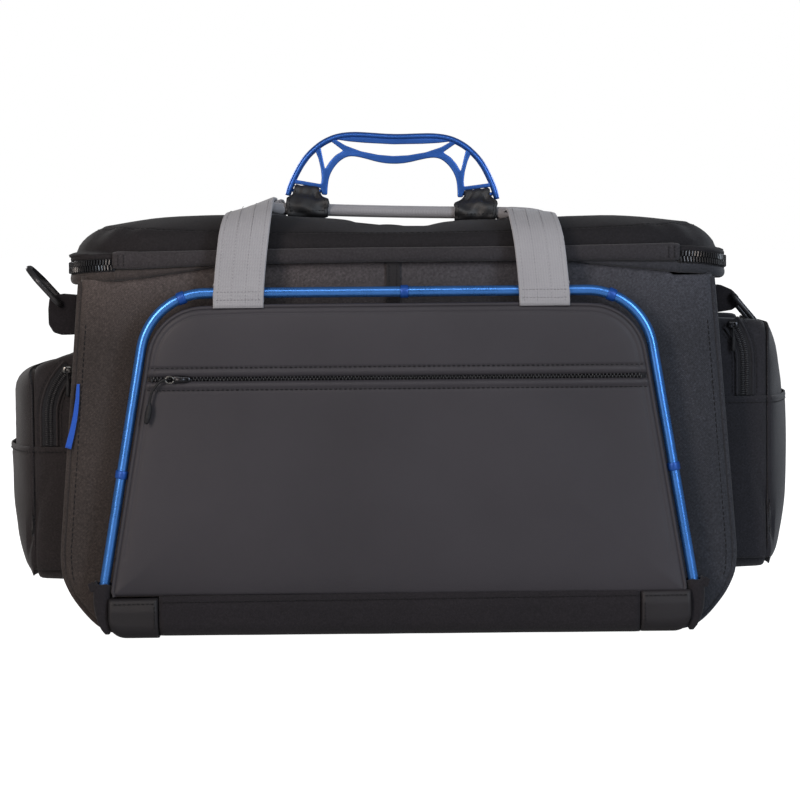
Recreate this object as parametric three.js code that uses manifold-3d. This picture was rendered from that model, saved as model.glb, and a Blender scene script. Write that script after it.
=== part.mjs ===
// Padded shoulder bag with two bent-tube frames, sewn pockets, a zipped lid that
// opens forward, webbing carry straps and a cast grab handle.
// Millimetres, X right, Y back, Z up, standing on Z = 0.
import * as THREE from 'three';
import Module from 'manifold-3d';
import { mergeVertices } from 'three/examples/jsm/utils/BufferGeometryUtils.js';

const wasm = await Module();
wasm.setup();

// ---- main sizes ----
const GAP = 0.35;
const BODY_TOP_HX = 240, BODY_LOW_HX = 256, BODY_FOOT_HX = 219; // half widths of the body
const BODY_TOP_Z = 266, BODY_LOW_Z = 53, BODY_FOOT_Z = 4.4;
const BODY_HY = 130, CLOTH = 3;
const SIDE_BULGE = 8;
const RIM_HX = 250, RIM_HY = 135, RIM_R = 37, RIM_BULGE = 7;   // zipped rim outline
const ZIP_Z = 279.6;                                            // main zip centre height
const TUBE_R = 4, TUBE_Y = 150, TUBE_TOP = 261;
const STRAP_W = 38, STRAP_T = 2.4, LEG_L = -117.3, LEG_R = 109.8;
const GRIP_Z = 322.8, GRIP_Y = 6.9;
const HANDLE_X = -4.1, BAR_Z = 341.5;
const SHIFT_X = -1.95, SHIFT_Y = 3.65;                          // puts the origin under the middle of the whole bag
const POCKET_Y = 159.3;                                         // front face of the front pocket

// ---- mesh helpers ----
function finish(pos, idx) {
  let v = 0;
  for (let i = 0; i < idx.length; i += 3) {
    const a = idx[i] * 3, b = idx[i + 1] * 3, c = idx[i + 2] * 3;
    v += pos[a] * (pos[b + 1] * pos[c + 2] - pos[b + 2] * pos[c + 1])
       + pos[a + 1] * (pos[b + 2] * pos[c] - pos[b] * pos[c + 2])
       + pos[a + 2] * (pos[b] * pos[c + 1] - pos[b + 1] * pos[c]);
  }
  if (v < 0) for (let i = 0; i < idx.length; i += 3) { const t = idx[i]; idx[i] = idx[i + 1]; idx[i + 1] = t; }
  const g = new THREE.BufferGeometry();
  g.setAttribute('position', new THREE.Float32BufferAttribute(pos, 3));
  g.setIndex(idx);
  return g;
}

// skin over a row of equal-count closed outlines, capped at both ends or joined round
function loft(rings, joined = false) {
  const n = rings[0].length, m = rings.length, pos = [], idx = [];
  for (const r of rings) for (const p of r) pos.push(p[0], p[1], p[2]);
  const last = joined ? m : m - 1;
  for (let i = 0; i < last; i++) {
    const a = i * n, b = ((i + 1) % m) * n;
    for (let j = 0; j < n; j++) {
      const k = (j + 1) % n;
      idx.push(a + j, a + k, b + k, a + j, b + k, b + j);
    }
  }
  if (!joined) for (const end of [0, m - 1]) {
    const r = rings[end], nor = new THREE.Vector3();
    for (let j = 0; j < n; j++) {
      const p = r[j], q = r[(j + 1) % n];
      nor.x += (p[1] - q[1]) * (p[2] + q[2]);
      nor.y += (p[2] - q[2]) * (p[0] + q[0]);
      nor.z += (p[0] - q[0]) * (p[1] + q[1]);
    }
    nor.normalize();
    const u = new THREE.Vector3(Math.abs(nor.x) < 0.7 ? 1 : 0, Math.abs(nor.x) < 0.7 ? 0 : 1, 0).cross(nor).normalize();
    const w = new THREE.Vector3().crossVectors(nor, u);
    const flat = r.map(p => new THREE.Vector2(p[0] * u.x + p[1] * u.y + p[2] * u.z, p[0] * w.x + p[1] * w.y + p[2] * w.z));
    // facing of the caps: the outline runs counter-clockwise about nor
    for (const t of THREE.ShapeUtils.triangulateShape(flat, [])) {
      const s = end === 0 ? [t[2], t[1], t[0]] : t;
      idx.push(end * n + s[0], end * n + s[1], end * n + s[2]);
    }
  }
  // the sides run i -> i+1; turn the caps over if they don't agree with the first quad
  return weldCaps(finish(pos, idx), n, m, joined);
}

// makes the caps' winding agree with the sides, then faces the whole body out
function weldCaps(g, n, m, joined) {
  if (joined) return g;
  const idx = Array.from(g.index.array), pos = Array.from(g.attributes.position.array);
  const sides = (m - 1) * n * 6;
  const edge = new Set();
  for (let i = 0; i < sides; i += 3) for (let e = 0; e < 3; e++) edge.add(idx[i + e] + '_' + idx[i + (e + 1) % 3]);
  for (const end of [0, m - 1]) {
    let bad = 0;
    const mine = [];
    for (let i = sides; i < idx.length; i += 3) {
      const lo = end * n, hi = lo + n;
      if (idx[i] < lo || idx[i] >= hi) continue;
      mine.push(i);
      for (let e = 0; e < 3; e++) if (edge.has(idx[i + e] + '_' + idx[i + (e + 1) % 3])) bad++;
    }
    if (bad) for (const i of mine) { const t = idx[i]; idx[i] = idx[i + 1]; idx[i + 1] = t; }
  }
  return finish(pos, idx);
}

// straight extrusion of a 2-D outline (with holes) along 'x' (y,z), 'y' (x,z) or 'z' (x,y)
function prism(outline, a0, a1, axis = 'y', holes = []) {
  const V = l => l.map(p => new THREE.Vector2(p[0], p[1]));
  let c = V(outline); if (THREE.ShapeUtils.area(c) < 0) c = c.reverse();
  const hs = holes.map(h => { let k = V(h); return THREE.ShapeUtils.area(k) > 0 ? k.reverse() : k; });
  const tri = THREE.ShapeUtils.triangulateShape(c, hs);
  const all = [c, ...hs].flat(), N = all.length, pos = [], idx = [];
  const put = (u, v, w) => axis === 'x' ? pos.push(w, u, v) : axis === 'y' ? pos.push(u, w, v) : pos.push(u, v, w);
  for (const p of all) put(p.x, p.y, a0);
  for (const p of all) put(p.x, p.y, a1);
  for (const t of tri) { idx.push(t[0], t[1], t[2], N + t[2], N + t[1], N + t[0]); }
  let base = 0;
  for (const loop of [c, ...hs]) {
    const L = loop.length;
    for (let j = 0; j < L; j++) {
      const p = base + j, q = base + (j + 1) % L;
      idx.push(q, p, N + p, q, N + p, N + q);
    }
    base += L;
  }
  return finish(pos, idx);
}

function toManifold(g) {
  const h = mergeVertices(g, 1e-4);
  return new wasm.Manifold(new wasm.Mesh({
    numProp: 3, vertProperties: new Float32Array(h.attributes.position.array), triVerts: new Uint32Array(h.index.array) }));
}
function fromManifold(mf) {
  const mesh = mf.getMesh(), pos = [];
  for (let i = 0; i < mesh.vertProperties.length; i += mesh.numProp) pos.push(mesh.vertProperties[i], mesh.vertProperties[i + 1], mesh.vertProperties[i + 2]);
  return finish(pos, Array.from(mesh.triVerts));
}
const union = (...gs) => fromManifold(gs.map(toManifold).reduce((a, b) => a.add(b)));
const cut = (a, ...gs) => fromManifold(gs.map(toManifold).reduce((m, b) => m.subtract(b), toManifold(a)));

// ---- outline helpers ----
const rad = d => d * Math.PI / 180;
const arc = (cx, cy, r, a0, a1, n) => Array.from({ length: n + 1 }, (_, i) => {
  const t = rad(a0 + (a1 - a0) * i / n); return [cx + r * Math.cos(t), cy + r * Math.sin(t)];
});
const circle = (cx, cy, r, n) => Array.from({ length: n }, (_, i) => [cx + r * Math.cos(2 * Math.PI * i / n), cy + r * Math.sin(2 * Math.PI * i / n)]);
function rrect(x0, y0, x1, y1, r, n = 4) {
  return [...arc(x1 - r, y1 - r, r, 0, 90, n), ...arc(x0 + r, y1 - r, r, 90, 180, n),
          ...arc(x0 + r, y0 + r, r, 180, 270, n), ...arc(x1 - r, y0 + r, r, 270, 360, n)];
}
// rounds the inner corners of a polyline
function fillet(pts, r, n = 5, closed = false) {
  const out = [], N = pts.length;
  for (let i = 0; i < N; i++) {
    const ri = Array.isArray(r) ? r[i] : r;
    if ((!closed && (i === 0 || i === N - 1)) || !ri) { out.push(pts[i]); continue; }
    const p = new THREE.Vector2(...pts[i]);
    const a = new THREE.Vector2(...pts[(i + N - 1) % N]).sub(p), b = new THREE.Vector2(...pts[(i + 1) % N]).sub(p);
    const la = a.length(), lb = b.length(); a.normalize(); b.normalize();
    const half = Math.acos(THREE.MathUtils.clamp(a.dot(b), -1, 1)) / 2;
    const t = Math.min(ri / Math.tan(half), la * 0.49, lb * 0.49), rr = t * Math.tan(half);
    const c = p.clone().add(a.clone().add(b).normalize().multiplyScalar(rr / Math.sin(half)));
    const s = p.clone().add(a.multiplyScalar(t)), e = p.clone().add(b.multiplyScalar(t));
    const a0 = Math.atan2(s.y - c.y, s.x - c.x); let a1 = Math.atan2(e.y - c.y, e.x - c.x);
    while (a1 - a0 > Math.PI) a1 -= 2 * Math.PI; while (a1 - a0 < -Math.PI) a1 += 2 * Math.PI;
    for (let k = 0; k <= n; k++) { const t2 = a0 + (a1 - a0) * k / n; out.push([c.x + rr * Math.cos(t2), c.y + rr * Math.sin(t2)]); }
  }
  return out;
}
// splits long edges of a closed outline
function split(pts, most) {
  const out = [];
  pts.forEach((p, i) => {
    const q = pts[(i + 1) % pts.length], m = Math.max(1, Math.ceil(Math.hypot(q[0] - p[0], q[1] - p[1]) / most));
    for (let k = 0; k < m; k++) out.push([p[0] + (q[0] - p[0]) * k / m, p[1] + (q[1] - p[1]) * k / m]);
  });
  return out;
}
const mirrorX = (pts, cx = 0) => pts.map(p => [2 * cx - p[0], p[1]]).reverse();

// sweep of a section along a 3-D path; side[i], up[i] are unit vectors, sec(i) gives 2-D points
function sweep(path, side, up, sec, joined = false) {
  return loft(path.map((p, i) => sec(i).map(([a, b]) => [
    p[0] + side[i][0] * a + up[i][0] * b, p[1] + side[i][1] * a + up[i][1] * b, p[2] + side[i][2] * a + up[i][2] * b])), joined);
}
function planarFrames(path2, closed = false) {
  return path2.map((p, i) => {
    const N = path2.length;
    const q = path2[closed ? (i + N - 1) % N : Math.max(0, i - 1)], r = path2[closed ? (i + 1) % N : Math.min(N - 1, i + 1)];
    const d = new THREE.Vector2(r[0] - q[0], r[1] - q[1]).normalize();
    return [-d.y, d.x];
  });
}
// round wire or tube in a plane: put(u, v) maps the plane, out is the plane's normal
function wire(path2, r, seg, put, outDir, closed = false) {
  const nor = planarFrames(path2, closed), o = put(0, 0);
  const up = nor.map(v => { const q = put(v[0], v[1]); return [q[0] - o[0], q[1] - o[1], q[2] - o[2]]; });
  const c = circle(0, 0, r, seg);
  return sweep(path2.map(p => put(p[0], p[1])), path2.map(() => outDir), up, () => c, closed);
}

// ---- materials and group ----
const bag = new THREE.Group();
const slots = {};
const slot = (name, color, rough, metal = 0) => { slots[name] = [color, rough, metal]; };
slot('body_fabric', 0x3d3b3c, 0.9); slot('pocket_laminate', 0x48474b, 0.6); slot('boot_fabric', 0x222224, 0.85);
slot('zip_tape', 0x2e2d30, 0.85); slot('webbing', 0x7b7c82, 0.8); slot('loop_leather', 0x1d1c1f, 0.55);
slot('blue_tube', 0x6fa3d8, 0.3, 0.9); slot('blue_casting', 0x3f74b4, 0.35, 0.8); slot('blue_band', 0x2f5fb0, 0.45);
slot('slider_metal', 0x35353a, 0.4, 0.8); slot('pull_rubber', 0x151517, 0.7); slot('lining', 0x5a5c60, 0.95);
slot('blue_ribbon', 0x2b57a6, 0.7); slot('ring_wire', 0x1a1a1c, 0.35, 0.6);
function add(name, geo, s) {
  const [c, r, m] = slots[s];
  const mat = new THREE.MeshStandardMaterial({ color: c, roughness: r, metalness: m });
  mat.name = s;
  geo.translate(SHIFT_X, SHIFT_Y, 0);
  geo.computeVertexNormals();
  const mesh = new THREE.Mesh(geo, mat);
  mesh.name = name;
  bag.add(mesh);
}

// ---- sewn body ----
const sideX = z => z >= BODY_LOW_Z
  ? BODY_TOP_HX + (BODY_TOP_Z - z) / (BODY_TOP_Z - BODY_LOW_Z) * (BODY_LOW_HX - BODY_TOP_HX)
  : BODY_FOOT_HX + (z - BODY_FOOT_Z) / (BODY_LOW_Z - BODY_FOOT_Z) * (BODY_LOW_HX - BODY_FOOT_HX);
const bulge = y => SIDE_BULGE * Math.max(0, 1 - (y / 126) ** 2);
const faceOutline = fillet([[-BODY_TOP_HX, BODY_TOP_Z], [-BODY_LOW_HX, BODY_LOW_Z], [-BODY_FOOT_HX, BODY_FOOT_Z],
  [BODY_FOOT_HX, BODY_FOOT_Z], [BODY_LOW_HX, BODY_LOW_Z], [BODY_TOP_HX, BODY_TOP_Z]], [0, 22, 16, 16, 22, 0], 4, true);
add('front_panel', prism(faceOutline, -BODY_HY, -BODY_HY + CLOTH), 'body_fabric');
add('rear_panel', prism(faceOutline, BODY_HY - CLOTH, BODY_HY), 'body_fabric');
const leftLine = fillet([[-BODY_TOP_HX, BODY_TOP_Z], [-BODY_LOW_HX, BODY_LOW_Z], [-BODY_FOOT_HX, BODY_FOOT_Z]], [0, 22, 0], 4);
const sidePanel = sgn => {
  const out = leftLine.map(p => [p[0] * -sgn, p[1]]);
  const nor = planarFrames(leftLine);
  const inn = leftLine.map((p, i) => [(p[0] - nor[i][0] * -CLOTH) * -sgn, p[1] + nor[i][1] * CLOTH]);
  const ring = y => [...out, ...inn.slice().reverse()].map(p => [p[0] + sgn * bulge(y) * Math.min(1, (p[1] - 2) / 60), y, p[1]]);
  const ys = [-126.6, -112, -84, -44, 0, 44, 84, 112, 126.6];
  return loft(ys.map(ring));
};
add('left_side_panel', sidePanel(-1), 'body_fabric');
add('right_side_panel', sidePanel(1), 'body_fabric');
add('base_panel', prism(rrect(-216, -126.6, 216, 126.6, 8, 3), 0, 4, 'z'), 'boot_fabric');

const tubRing = (hx, hy, z, r) => rrect(-hx, -hy, hx, hy, r, 3).map(p => [p[0], p[1], z]);
add('padded_liner', loft([
  tubRing(205, 116, 14.5, 14), tubRing(240.5, 117, 60, 14), tubRing(228, 117, 264, 14),
  tubRing(236, 126.2, 264, 8), tubRing(250.5, 126.2, 58, 8), tubRing(211.5, 126.2, 6.2, 8)]), 'lining');

// ---- front pocket ----
const pocketOut = fillet([[-216.8, 32.5], [-180.5, 249], [-106, 251], [106, 251], [180.5, 249], [216.8, 32.5]], [3, 42, 0, 0, 42, 3], 6, true);
// (the two inner points of the top keep the corner arcs clear of the middle)
const pocketIn = fillet([[-213.2, 35.6], [-178, 246], [-106, 247.8], [106, 247.8], [178, 246], [213.2, 35.6]], [2, 39.5, 0, 0, 39.5, 2], 6, true);
add('front_pocket_gusset', prism(pocketOut, -156.1, -130.35, 'y', [pocketIn]), 'body_fabric');
const ZT = 204, ZB = 189;                                  // zip tape's upper and lower edges
const clipHalf = (pts, z, keepAbove) => {
  const out = [];
  for (let i = 0; i < pts.length; i++) {
    const p = pts[i], q = pts[(i + 1) % pts.length];
    const ip = keepAbove ? p[1] >= z : p[1] <= z, iq = keepAbove ? q[1] >= z : q[1] <= z;
    if (ip) out.push(p);
    if (ip !== iq) { const t = (z - p[1]) / (q[1] - p[1]); out.push([p[0] + (q[0] - p[0]) * t, z]); }
  }
  return out;
};
add('front_pocket_upper_panel', prism(clipHalf(pocketOut, ZT, true), -POCKET_Y, -156.4), 'pocket_laminate');
add('front_pocket_lower_panel', prism(clipHalf(pocketOut, ZB, false), -POCKET_Y, -156.4), 'pocket_laminate');
add('front_pocket_zip_tape', prism(clipHalf(clipHalf(pocketOut, ZT - GAP, false), ZB + GAP, true), -158.2, -156.6), 'zip_tape');

// ---- boot along the front foot ----
const bootL = (y0, t) => fillet([[y0, 31.5], [y0 + t, 31.5], [y0 + t, 4 + t * 0.2], [-130.4, 4 + t * 0.2], [-130.4, 1.0], [y0, 1.0]], [0, 0, 0, 0, 0, 9], 4, true);
add('front_boot_band', prism(bootL(-158.6, 3), -181.6, 182.4, 'x'), 'boot_fabric');
add('front_boot_patch_left', prism(fillet([[-160.6, 28.5], [-156.6, 28.5], [-156.6, 5], [-130.4, 5], [-130.4, 0.3], [-160.6, 0.3]], [0, 0, 0, 0, 0, 10], 4, true), -219.5, -182, 'x'), 'boot_fabric');
add('front_boot_patch_right', prism(fillet([[-160.6, 31.5], [-156.6, 31.5], [-156.6, 5.4], [-130.4, 5.4], [-130.4, 0.7], [-160.6, 0.7]], [0, 0, 0, 0, 0, 10], 4, true), 182.8, 220.5, 'x'), 'boot_fabric');

// ---- tube frames ----
const tubeX = z => 224 - 0.17 * (z - 34);
const tubeLow = 9;
const tubeLine = fillet([[-tubeX(tubeLow), tubeLow], [-tubeX(TUBE_TOP), TUBE_TOP], [tubeX(TUBE_TOP), TUBE_TOP], [tubeX(tubeLow), tubeLow]], 50, 9);
const tubeGeo = y => wire(tubeLine, TUBE_R, 14, (u, v) => [u, y, v], [0, 1, 0]);
add('front_frame_tube', tubeGeo(-TUBE_Y), 'blue_tube');
add('rear_frame_tube', tubeGeo(TUBE_Y), 'blue_tube');
// retaining bands: short sleeves round the tube
function band(x, z, dx, dz, y, len = 7) {
  const l = Math.hypot(dx, dz), d = [dx / l, dz / l], n = [-d[1], d[0]];
  const sec = [[4.55, -len / 2], [4.55, len / 2], [6, len / 2], [6, -len / 2]];
  const N = 14, rings = [];
  for (let i = 0; i < N; i++) {
    const t = 2 * Math.PI * i / N, c = Math.cos(t), s = Math.sin(t);
    rings.push(sec.map(([r, a]) => [x + d[0] * a + n[0] * r * c, y + r * s, z + d[1] * a + n[1] * r * c]));
  }
  return loft(rings, true);
}
// point on the corner arc at a given angle
const corner = tubeLine.slice(1, 11);
const mid = (a, b) => [(a[0] + b[0]) / 2, (a[1] + b[1]) / 2, b[0] - a[0], b[1] - a[1]];
const cl = mid(corner[5], corner[6]);
const bandSpots = [[-tubeX(126), 126, 0.17, 1], cl, [7, TUBE_TOP, 1, 0], [-cl[0], cl[1], cl[2], -cl[3]], [tubeX(128.5), 128.5, -0.17, 1]];
bandSpots.forEach((b, i) => add('front_tube_band_' + (i + 1), band(...b, -TUBE_Y), 'blue_band'));
[[-tubeX(126), 126, 0.17, 1], [0, TUBE_TOP, 1, 0], [tubeX(126), 126, -0.17, 1]].forEach((b, i) => add('rear_tube_band_' + (i + 1), band(...b, TUBE_Y), 'blue_band'));
// closed-bottom sleeves that hold the front tube's feet
function socket(sgn) {
  const at = (z, hx, hy, r) => rrect(-hx, -hy, hx, hy, r, 3).map(p => [sgn * tubeX(z) + p[0], -TUBE_Y + 0.8 + p[1], z]);
  return loft([at(7.5, 4.6, 5.4, 4.2), at(40, 4.6, 5.4, 4.2), at(40, 6.6, 7.2, 5), at(22, 6.9, 7.2, 5), at(4.2, 6.6, 7.0, 5)]);
}
add('front_tube_socket_left', socket(-1), 'boot_fabric');
add('front_tube_socket_right', socket(1), 'boot_fabric');
const rearBoot = prism(fillet([[-238, 34], [-229, 2.4], [229, 2.4], [238, 34]], [3, 6, 6, 3], 3, true), 130.4, 158.5);
const bore = (sgn) => { const path = [[sgn * tubeX(6.4), 6.4], [sgn * tubeX(60), 60]]; return wire(path, 4.6, 14, (u, v) => [u, TUBE_Y, v], [0, 1, 0]); };
add('rear_boot_band', cut(rearBoot, bore(-1), bore(1)), 'boot_fabric');
add('rear_back_pad', prism(rrect(-120, 66, 120, 205, 14, 4), 130.4, 139, 'y'), 'body_fabric');

// ---- side pockets: trays open towards the body ----
function pouch(sgn, xo, topIn, topOut, low, sag = 0) {
  const K = 26;
  const ring = (t, inset, gap, deep) => {
    // t 0 at the body, 1 at the outer face
    const hy = 97 - inset, z1 = topIn + (topOut - topIn) * t - inset, z0 = low + 3 * t + inset;
    const r = Math.max(6, 16 - inset);
    // every ring is split alike: 6 pieces along the long edges, 4 down the short ones
    const base = rrect(-hy, z0, hy, z1, r, 4), pts = [];
    base.forEach((p, i) => {
      const q = base[(i + 1) % base.length], m = i % 5 === 4 ? (i % 10 === 4 ? 8 : 5) : 1;
      for (let k = 0; k < m; k++) pts.push([p[0] + (q[0] - p[0]) * k / m, p[1] + (q[1] - p[1]) * k / m]);
    });
    return pts.map(([y, z0]) => {
      // slack top: it hangs between the front and rear edges
      const z = z0 > z1 - 0.5 ? z0 - sag * Math.min(1, Math.max(0, (92 - Math.abs(y)) / 14)) : z0;
      const xb = sideX(Math.max(z, 10)) + bulge(y) * Math.min(1, (z - 2) / 60) + gap + (sag && z > 200 ? 0.5 : 0);
      return [sgn * (xb + (xo - xb) * deep), y, z];
    });
  };
  return loft([ring(0.93, 3, 1.1, 0.935), ring(0.5, 3, 1.1, 0.5), ring(0, 3, 1.1, 0),
               ring(0, 0, 1.1, 0), ring(0.62, 0, 1.1, 0.72), ring(0.9, 3, 1.1, 0.93), ring(1, 9, 1.1, 1)]);
}
const LX = 304.3, RX = 308.2;
add('left_pocket_pouch', pouch(-1, LX, 213, 187, 36), 'body_fabric');
add('right_pocket_pouch', pouch(1, RX, 238, 234, 38, 16), 'body_fabric');
add('left_pocket_slip_panel', prism(rrect(-84, 50, 84, 142, 9, 4), -LX - 3.3, -LX - 0.35, 'x'), 'body_fabric');
add('right_pocket_slip_panel', prism(rrect(-84, 52, 84, 177, 9, 4), RX + 0.35, RX + 3.3, 'x'), 'body_fabric');
// zip tapes curve over the front of the side pockets
const LZ = { c: [-219.5, 166], r: 52, a0: 133, low: 143.5 }, RZ = { c: [217.5, 203], r: 52, a0: 37, low: 152 };
function sideTape(Z, sgn) {
  const aEnd = sgn < 0 ? 180 : 0, n = 10, w = 4.5;
  const outer = arc(Z.c[0], Z.c[1], Z.r + w, Z.a0, aEnd, n), inner = arc(Z.c[0], Z.c[1], Z.r - w, Z.a0, aEnd, n);
  return prism([...outer, [Z.c[0] + sgn * (Z.r + w), Z.low], [Z.c[0] + sgn * (Z.r - w), Z.low], ...inner.reverse()], -98.8, -97.35, 'y');
}
add('left_pocket_zip_tape', sideTape(LZ, -1), 'zip_tape');
add('right_pocket_zip_tape', sideTape(RZ, 1), 'zip_tape');
add('left_loop_tab', prism([[-246.5, 192], [-241.8, 192], [-244.5, 145], [-249.4, 145]], -132.6, -130.4, 'y'), 'blue_ribbon');

// ---- zipped rim ----
// outline of the rim: rounded rectangle whose ends belly out
function rimPoint(x, y, off) { return [x + Math.sign(x) * RIM_BULGE * Math.max(0, 1 - (y / RIM_HY) ** 2) * Math.min(1, Math.max(0, (Math.abs(x) - 190) / 60)), y]; }
function rimLoop(off, n = 6) {
  const pts = rrect(-RIM_HX - off, -RIM_HY - off, RIM_HX + off, RIM_HY + off, RIM_R + off, n);
  // extra points along the bellied ends
  const out = [];
  for (let i = 0; i < pts.length; i++) {
    out.push(pts[i]);
    const q = pts[(i + 1) % pts.length];
    if (Math.abs(q[0] - pts[i][0]) < 0.01 && Math.abs(q[1] - pts[i][1]) > 60) for (let k = 1; k < 6; k++) out.push([q[0], pts[i][1] + (q[1] - pts[i][1]) * k / 6]);
  }
  return out.map(p => rimPoint(p[0], p[1]));
}
const TAPE_END = 211;                                       // the tapes stop here on the front
function uTape(sec) {
  // path round left, rear and right, starting and ending on the front
  const loopPts = rimLoop(0);
  const path = [];
  const ang = p => Math.atan2(p[1], p[0]);
  const ordered = loopPts.slice().sort((a, b) => ((ang(a) + 2.5 * Math.PI) % (2 * Math.PI)) - ((ang(b) + 2.5 * Math.PI) % (2 * Math.PI)));
  path.push([TAPE_END, -RIM_HY]);
  for (const p of ordered) if (!(p[1] < -RIM_HY + 1 && Math.abs(p[0]) <= TAPE_END + 3)) path.push(p);
  path.push([-TAPE_END, -RIM_HY]);
  const nor = planarFrames(path);
  const outDir = nor.map(v => [-v[0], -v[1], 0]);
  return sweep(path.map(p => [p[0], p[1], 0]), outDir, path.map(() => [0, 0, 1]), () => sec);
}
add('body_zip_tape', uTape([[0, 278.4], [-1.6, 278.4], [-1.6, 270.2], [-13, 268.6], [-13, 266.6], [0, 268.4]]), 'zip_tape');
add('lid_zip_tape', uTape([[0, 280.8], [-1.6, 280.8], [-1.6, 287], [-9, 288], [-9, 289.7], [0, 289.7]]), 'zip_tape');

// ---- lid ----
const lidRing = (hx, hy, r, z, crown = 0) => {
  const pts = rrect(-hx, -hy, hx, hy, r, 6), out = [];
  for (let i = 0; i < pts.length; i++) {
    out.push(pts[i]);
    const q = pts[(i + 1) % pts.length], dx = q[0] - pts[i][0], dy = q[1] - pts[i][1];
    const m = i % 14 === 6 ? 6 : i % 14 === 13 ? 4 : 1;
    for (let k = 1; k < m; k++) out.push([pts[i][0] + dx * k / m, pts[i][1] + dy * k / m]);
  }
  return out.map(([x, y]) => [x + Math.sign(x) * (RIM_BULGE * Math.max(0, 1 - (y / RIM_HY) ** 2) * Math.min(1, Math.max(0, (Math.abs(x) - 190) / 60))), y, z + crown * Math.min(1, (x / 194) ** 2)]);
};
const LID_Z0 = 290.05;
add('lid_cover', loft([
  lidRing(120, 4, 3.5, 311.3, 3.4), lidRing(196, 92, 26, 311.6, 3.4), lidRing(226, 112, 30, 309, 3.2), lidRing(240, 127.5, 34, 301, 1), lidRing(245, 131, 34, LID_Z0),
  lidRing(249, 134.5, 37, LID_Z0), lidRing(246, 131.5, 37, 299), lidRing(240, 127, 38, 306, 1.5), lidRing(226, 118, 36, 312, 3), lidRing(196, 96, 30, 314.6, 3.6), lidRing(120, 4, 3.5, 314.3, 3.6)]), 'body_fabric');
add('lid_foam', loft([
  lidRing(120, 4, 3.5, 310.7, 3.4), lidRing(195, 91, 26, 311.0, 3.3), lidRing(225, 111, 30, 308.2, 3.1), lidRing(238, 126, 34, 300, 0.6), lidRing(240, 128, 34, 292.5)]), 'lining');
add('lid_hinge_strip', prism(fillet([[-137.6, 276.6], [-139.2, 282], [-137.4, 289.6], [-131, 289.6], [-131, 276.6]], 0, 3, true), -210.5, 210.5, 'x'), 'body_fabric');

// ---- zip sliders and pulls ----
function slider(x, sgn) {
  const b = prism(fillet([[x - 6.5, ZIP_Z - 7.5], [x + 6.5, ZIP_Z - 7.5], [x + 6.5, ZIP_Z + 7.5], [x - 6.5, ZIP_Z + 7.5]], 3, 3, true), 135.6, 138.8, 'y');
  const lug = cut(prism([[138.5, ZIP_Z - 4], [142.4, ZIP_Z - 2.5], [142.4, ZIP_Z + 2.5], [138.5, ZIP_Z + 4]], x - 2.2, x + 2.2, 'x'),
                  prism(circle(140.4, ZIP_Z, 1.25, 10), x - 3, x + 3, 'x'));
  return union(b, lug);
}
const ringPull = (x) => {
  const pin = prism(circle(140.4, ZIP_Z, 0.9, 10), x - 4.2, x + 4.2, 'x');
  const plate = prism([[x - 4.2, ZIP_Z + 1.15], [x - 4.2, ZIP_Z - 4], [x - 5, ZIP_Z - 6], [x - 5, 266.6], [x - 3.4, 265], [x + 3.4, 265], [x + 5, 266.6], [x + 5, ZIP_Z - 6], [x + 4.2, ZIP_Z - 4], [x + 4.2, ZIP_Z + 1.15],
    [x + 2.9, ZIP_Z + 1.15], [x + 2.9, ZIP_Z - 5.2], [x - 2.9, ZIP_Z - 5.2], [x - 2.9, ZIP_Z + 1.15]], 139.5, 141.3, 'y');
  return union(plate, pin);
};
for (const [side, x] of [['left', -9], ['right', 9]]) {
  add('main_zip_slider_' + side, slider(x), 'slider_metal');
  add('main_zip_pull_' + side, ringPull(x), 'pull_rubber');
}
// front pocket slider with a cord pull
const FX = -166, FZ = 196.5;
add('front_zip_slider', union(
  prism(fillet([[FX - 7, FZ - 4.6], [FX + 7, FZ - 4.6], [FX + 7, FZ + 4.6], [FX - 7, FZ + 4.6]], 2, 3, true), -161.4, -158.6, 'y'),
  prism(circle(FX - 5, FZ, 1.6, 12), -165, -161.2, 'y'), prism(circle(FX - 5, FZ, 3, 12), -165.8, -164.6, 'y')), 'slider_metal');
{
  const ax = FX - 5, dir = rad(234), d = [Math.cos(dir), Math.sin(dir)], n = [-d[1], d[0]];
  const P = (a, b) => [ax + d[0] * a + n[0] * b, FZ + d[1] * a + n[1] * b];
  const eye = prism(circle(ax, FZ, 3.6, 16), -164.2, -162.0, 'y', [circle(ax, FZ, 2.0, 12)]);
  const cord = prism([P(2.6, -1.3), P(16, -1.3), P(16, 1.3), P(2.6, 1.3)], -164.2, -162.0, 'y');
  const cap = prism([P(14, -2), P(16, -3.4), P(30, -3.4), P(32.5, -1.6), P(32.5, 1.6), P(30, 3.4), P(16, 3.4), P(14, 2)], -165.2, -160.6, 'y');
  add('front_zip_pull', union(eye, cord, cap), 'pull_rubber');
}
// side pocket sliders on the curved zips, with short pulls
function sideSlider(Z, sgn, a) {
  const t = rad(a), c = [Z.c[0] + Z.r * Math.cos(t), Z.c[1] + Z.r * Math.sin(t)];
  const d = [-Math.sin(t), Math.cos(t)], n = [Math.cos(t), Math.sin(t)];
  const P = (u, v) => [c[0] + d[0] * u + n[0] * v, c[1] + d[1] * u + n[1] * v];
  const body = prism([P(-5, -3.4), P(5, -3.4), P(5, 3.4), P(-5, 3.4)], -101.6, -99.15, 'y');
  const post = prism(circle(c[0], c[1], 1.2, 10), -104.6, -101.3, 'y');
  const head = prism(circle(c[0], c[1], 2.4, 12), -105.4, -104.4, 'y');
  const eye = prism(circle(c[0], c[1], 2.9, 14), -103.9, -102.1, 'y', [circle(c[0], c[1], 1.6, 10)]);
  const tab = prism([[c[0] - 1.6, c[1] - 2.2], [c[0] - 2.6, c[1] - 8], [c[0] - 2.6, c[1] - 24], [c[0] + 2.6, c[1] - 24], [c[0] + 2.6, c[1] - 8], [c[0] + 1.6, c[1] - 2.2]], -103.9, -102.1, 'y');
  return [union(body, post, head), union(eye, tab)];
}
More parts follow.
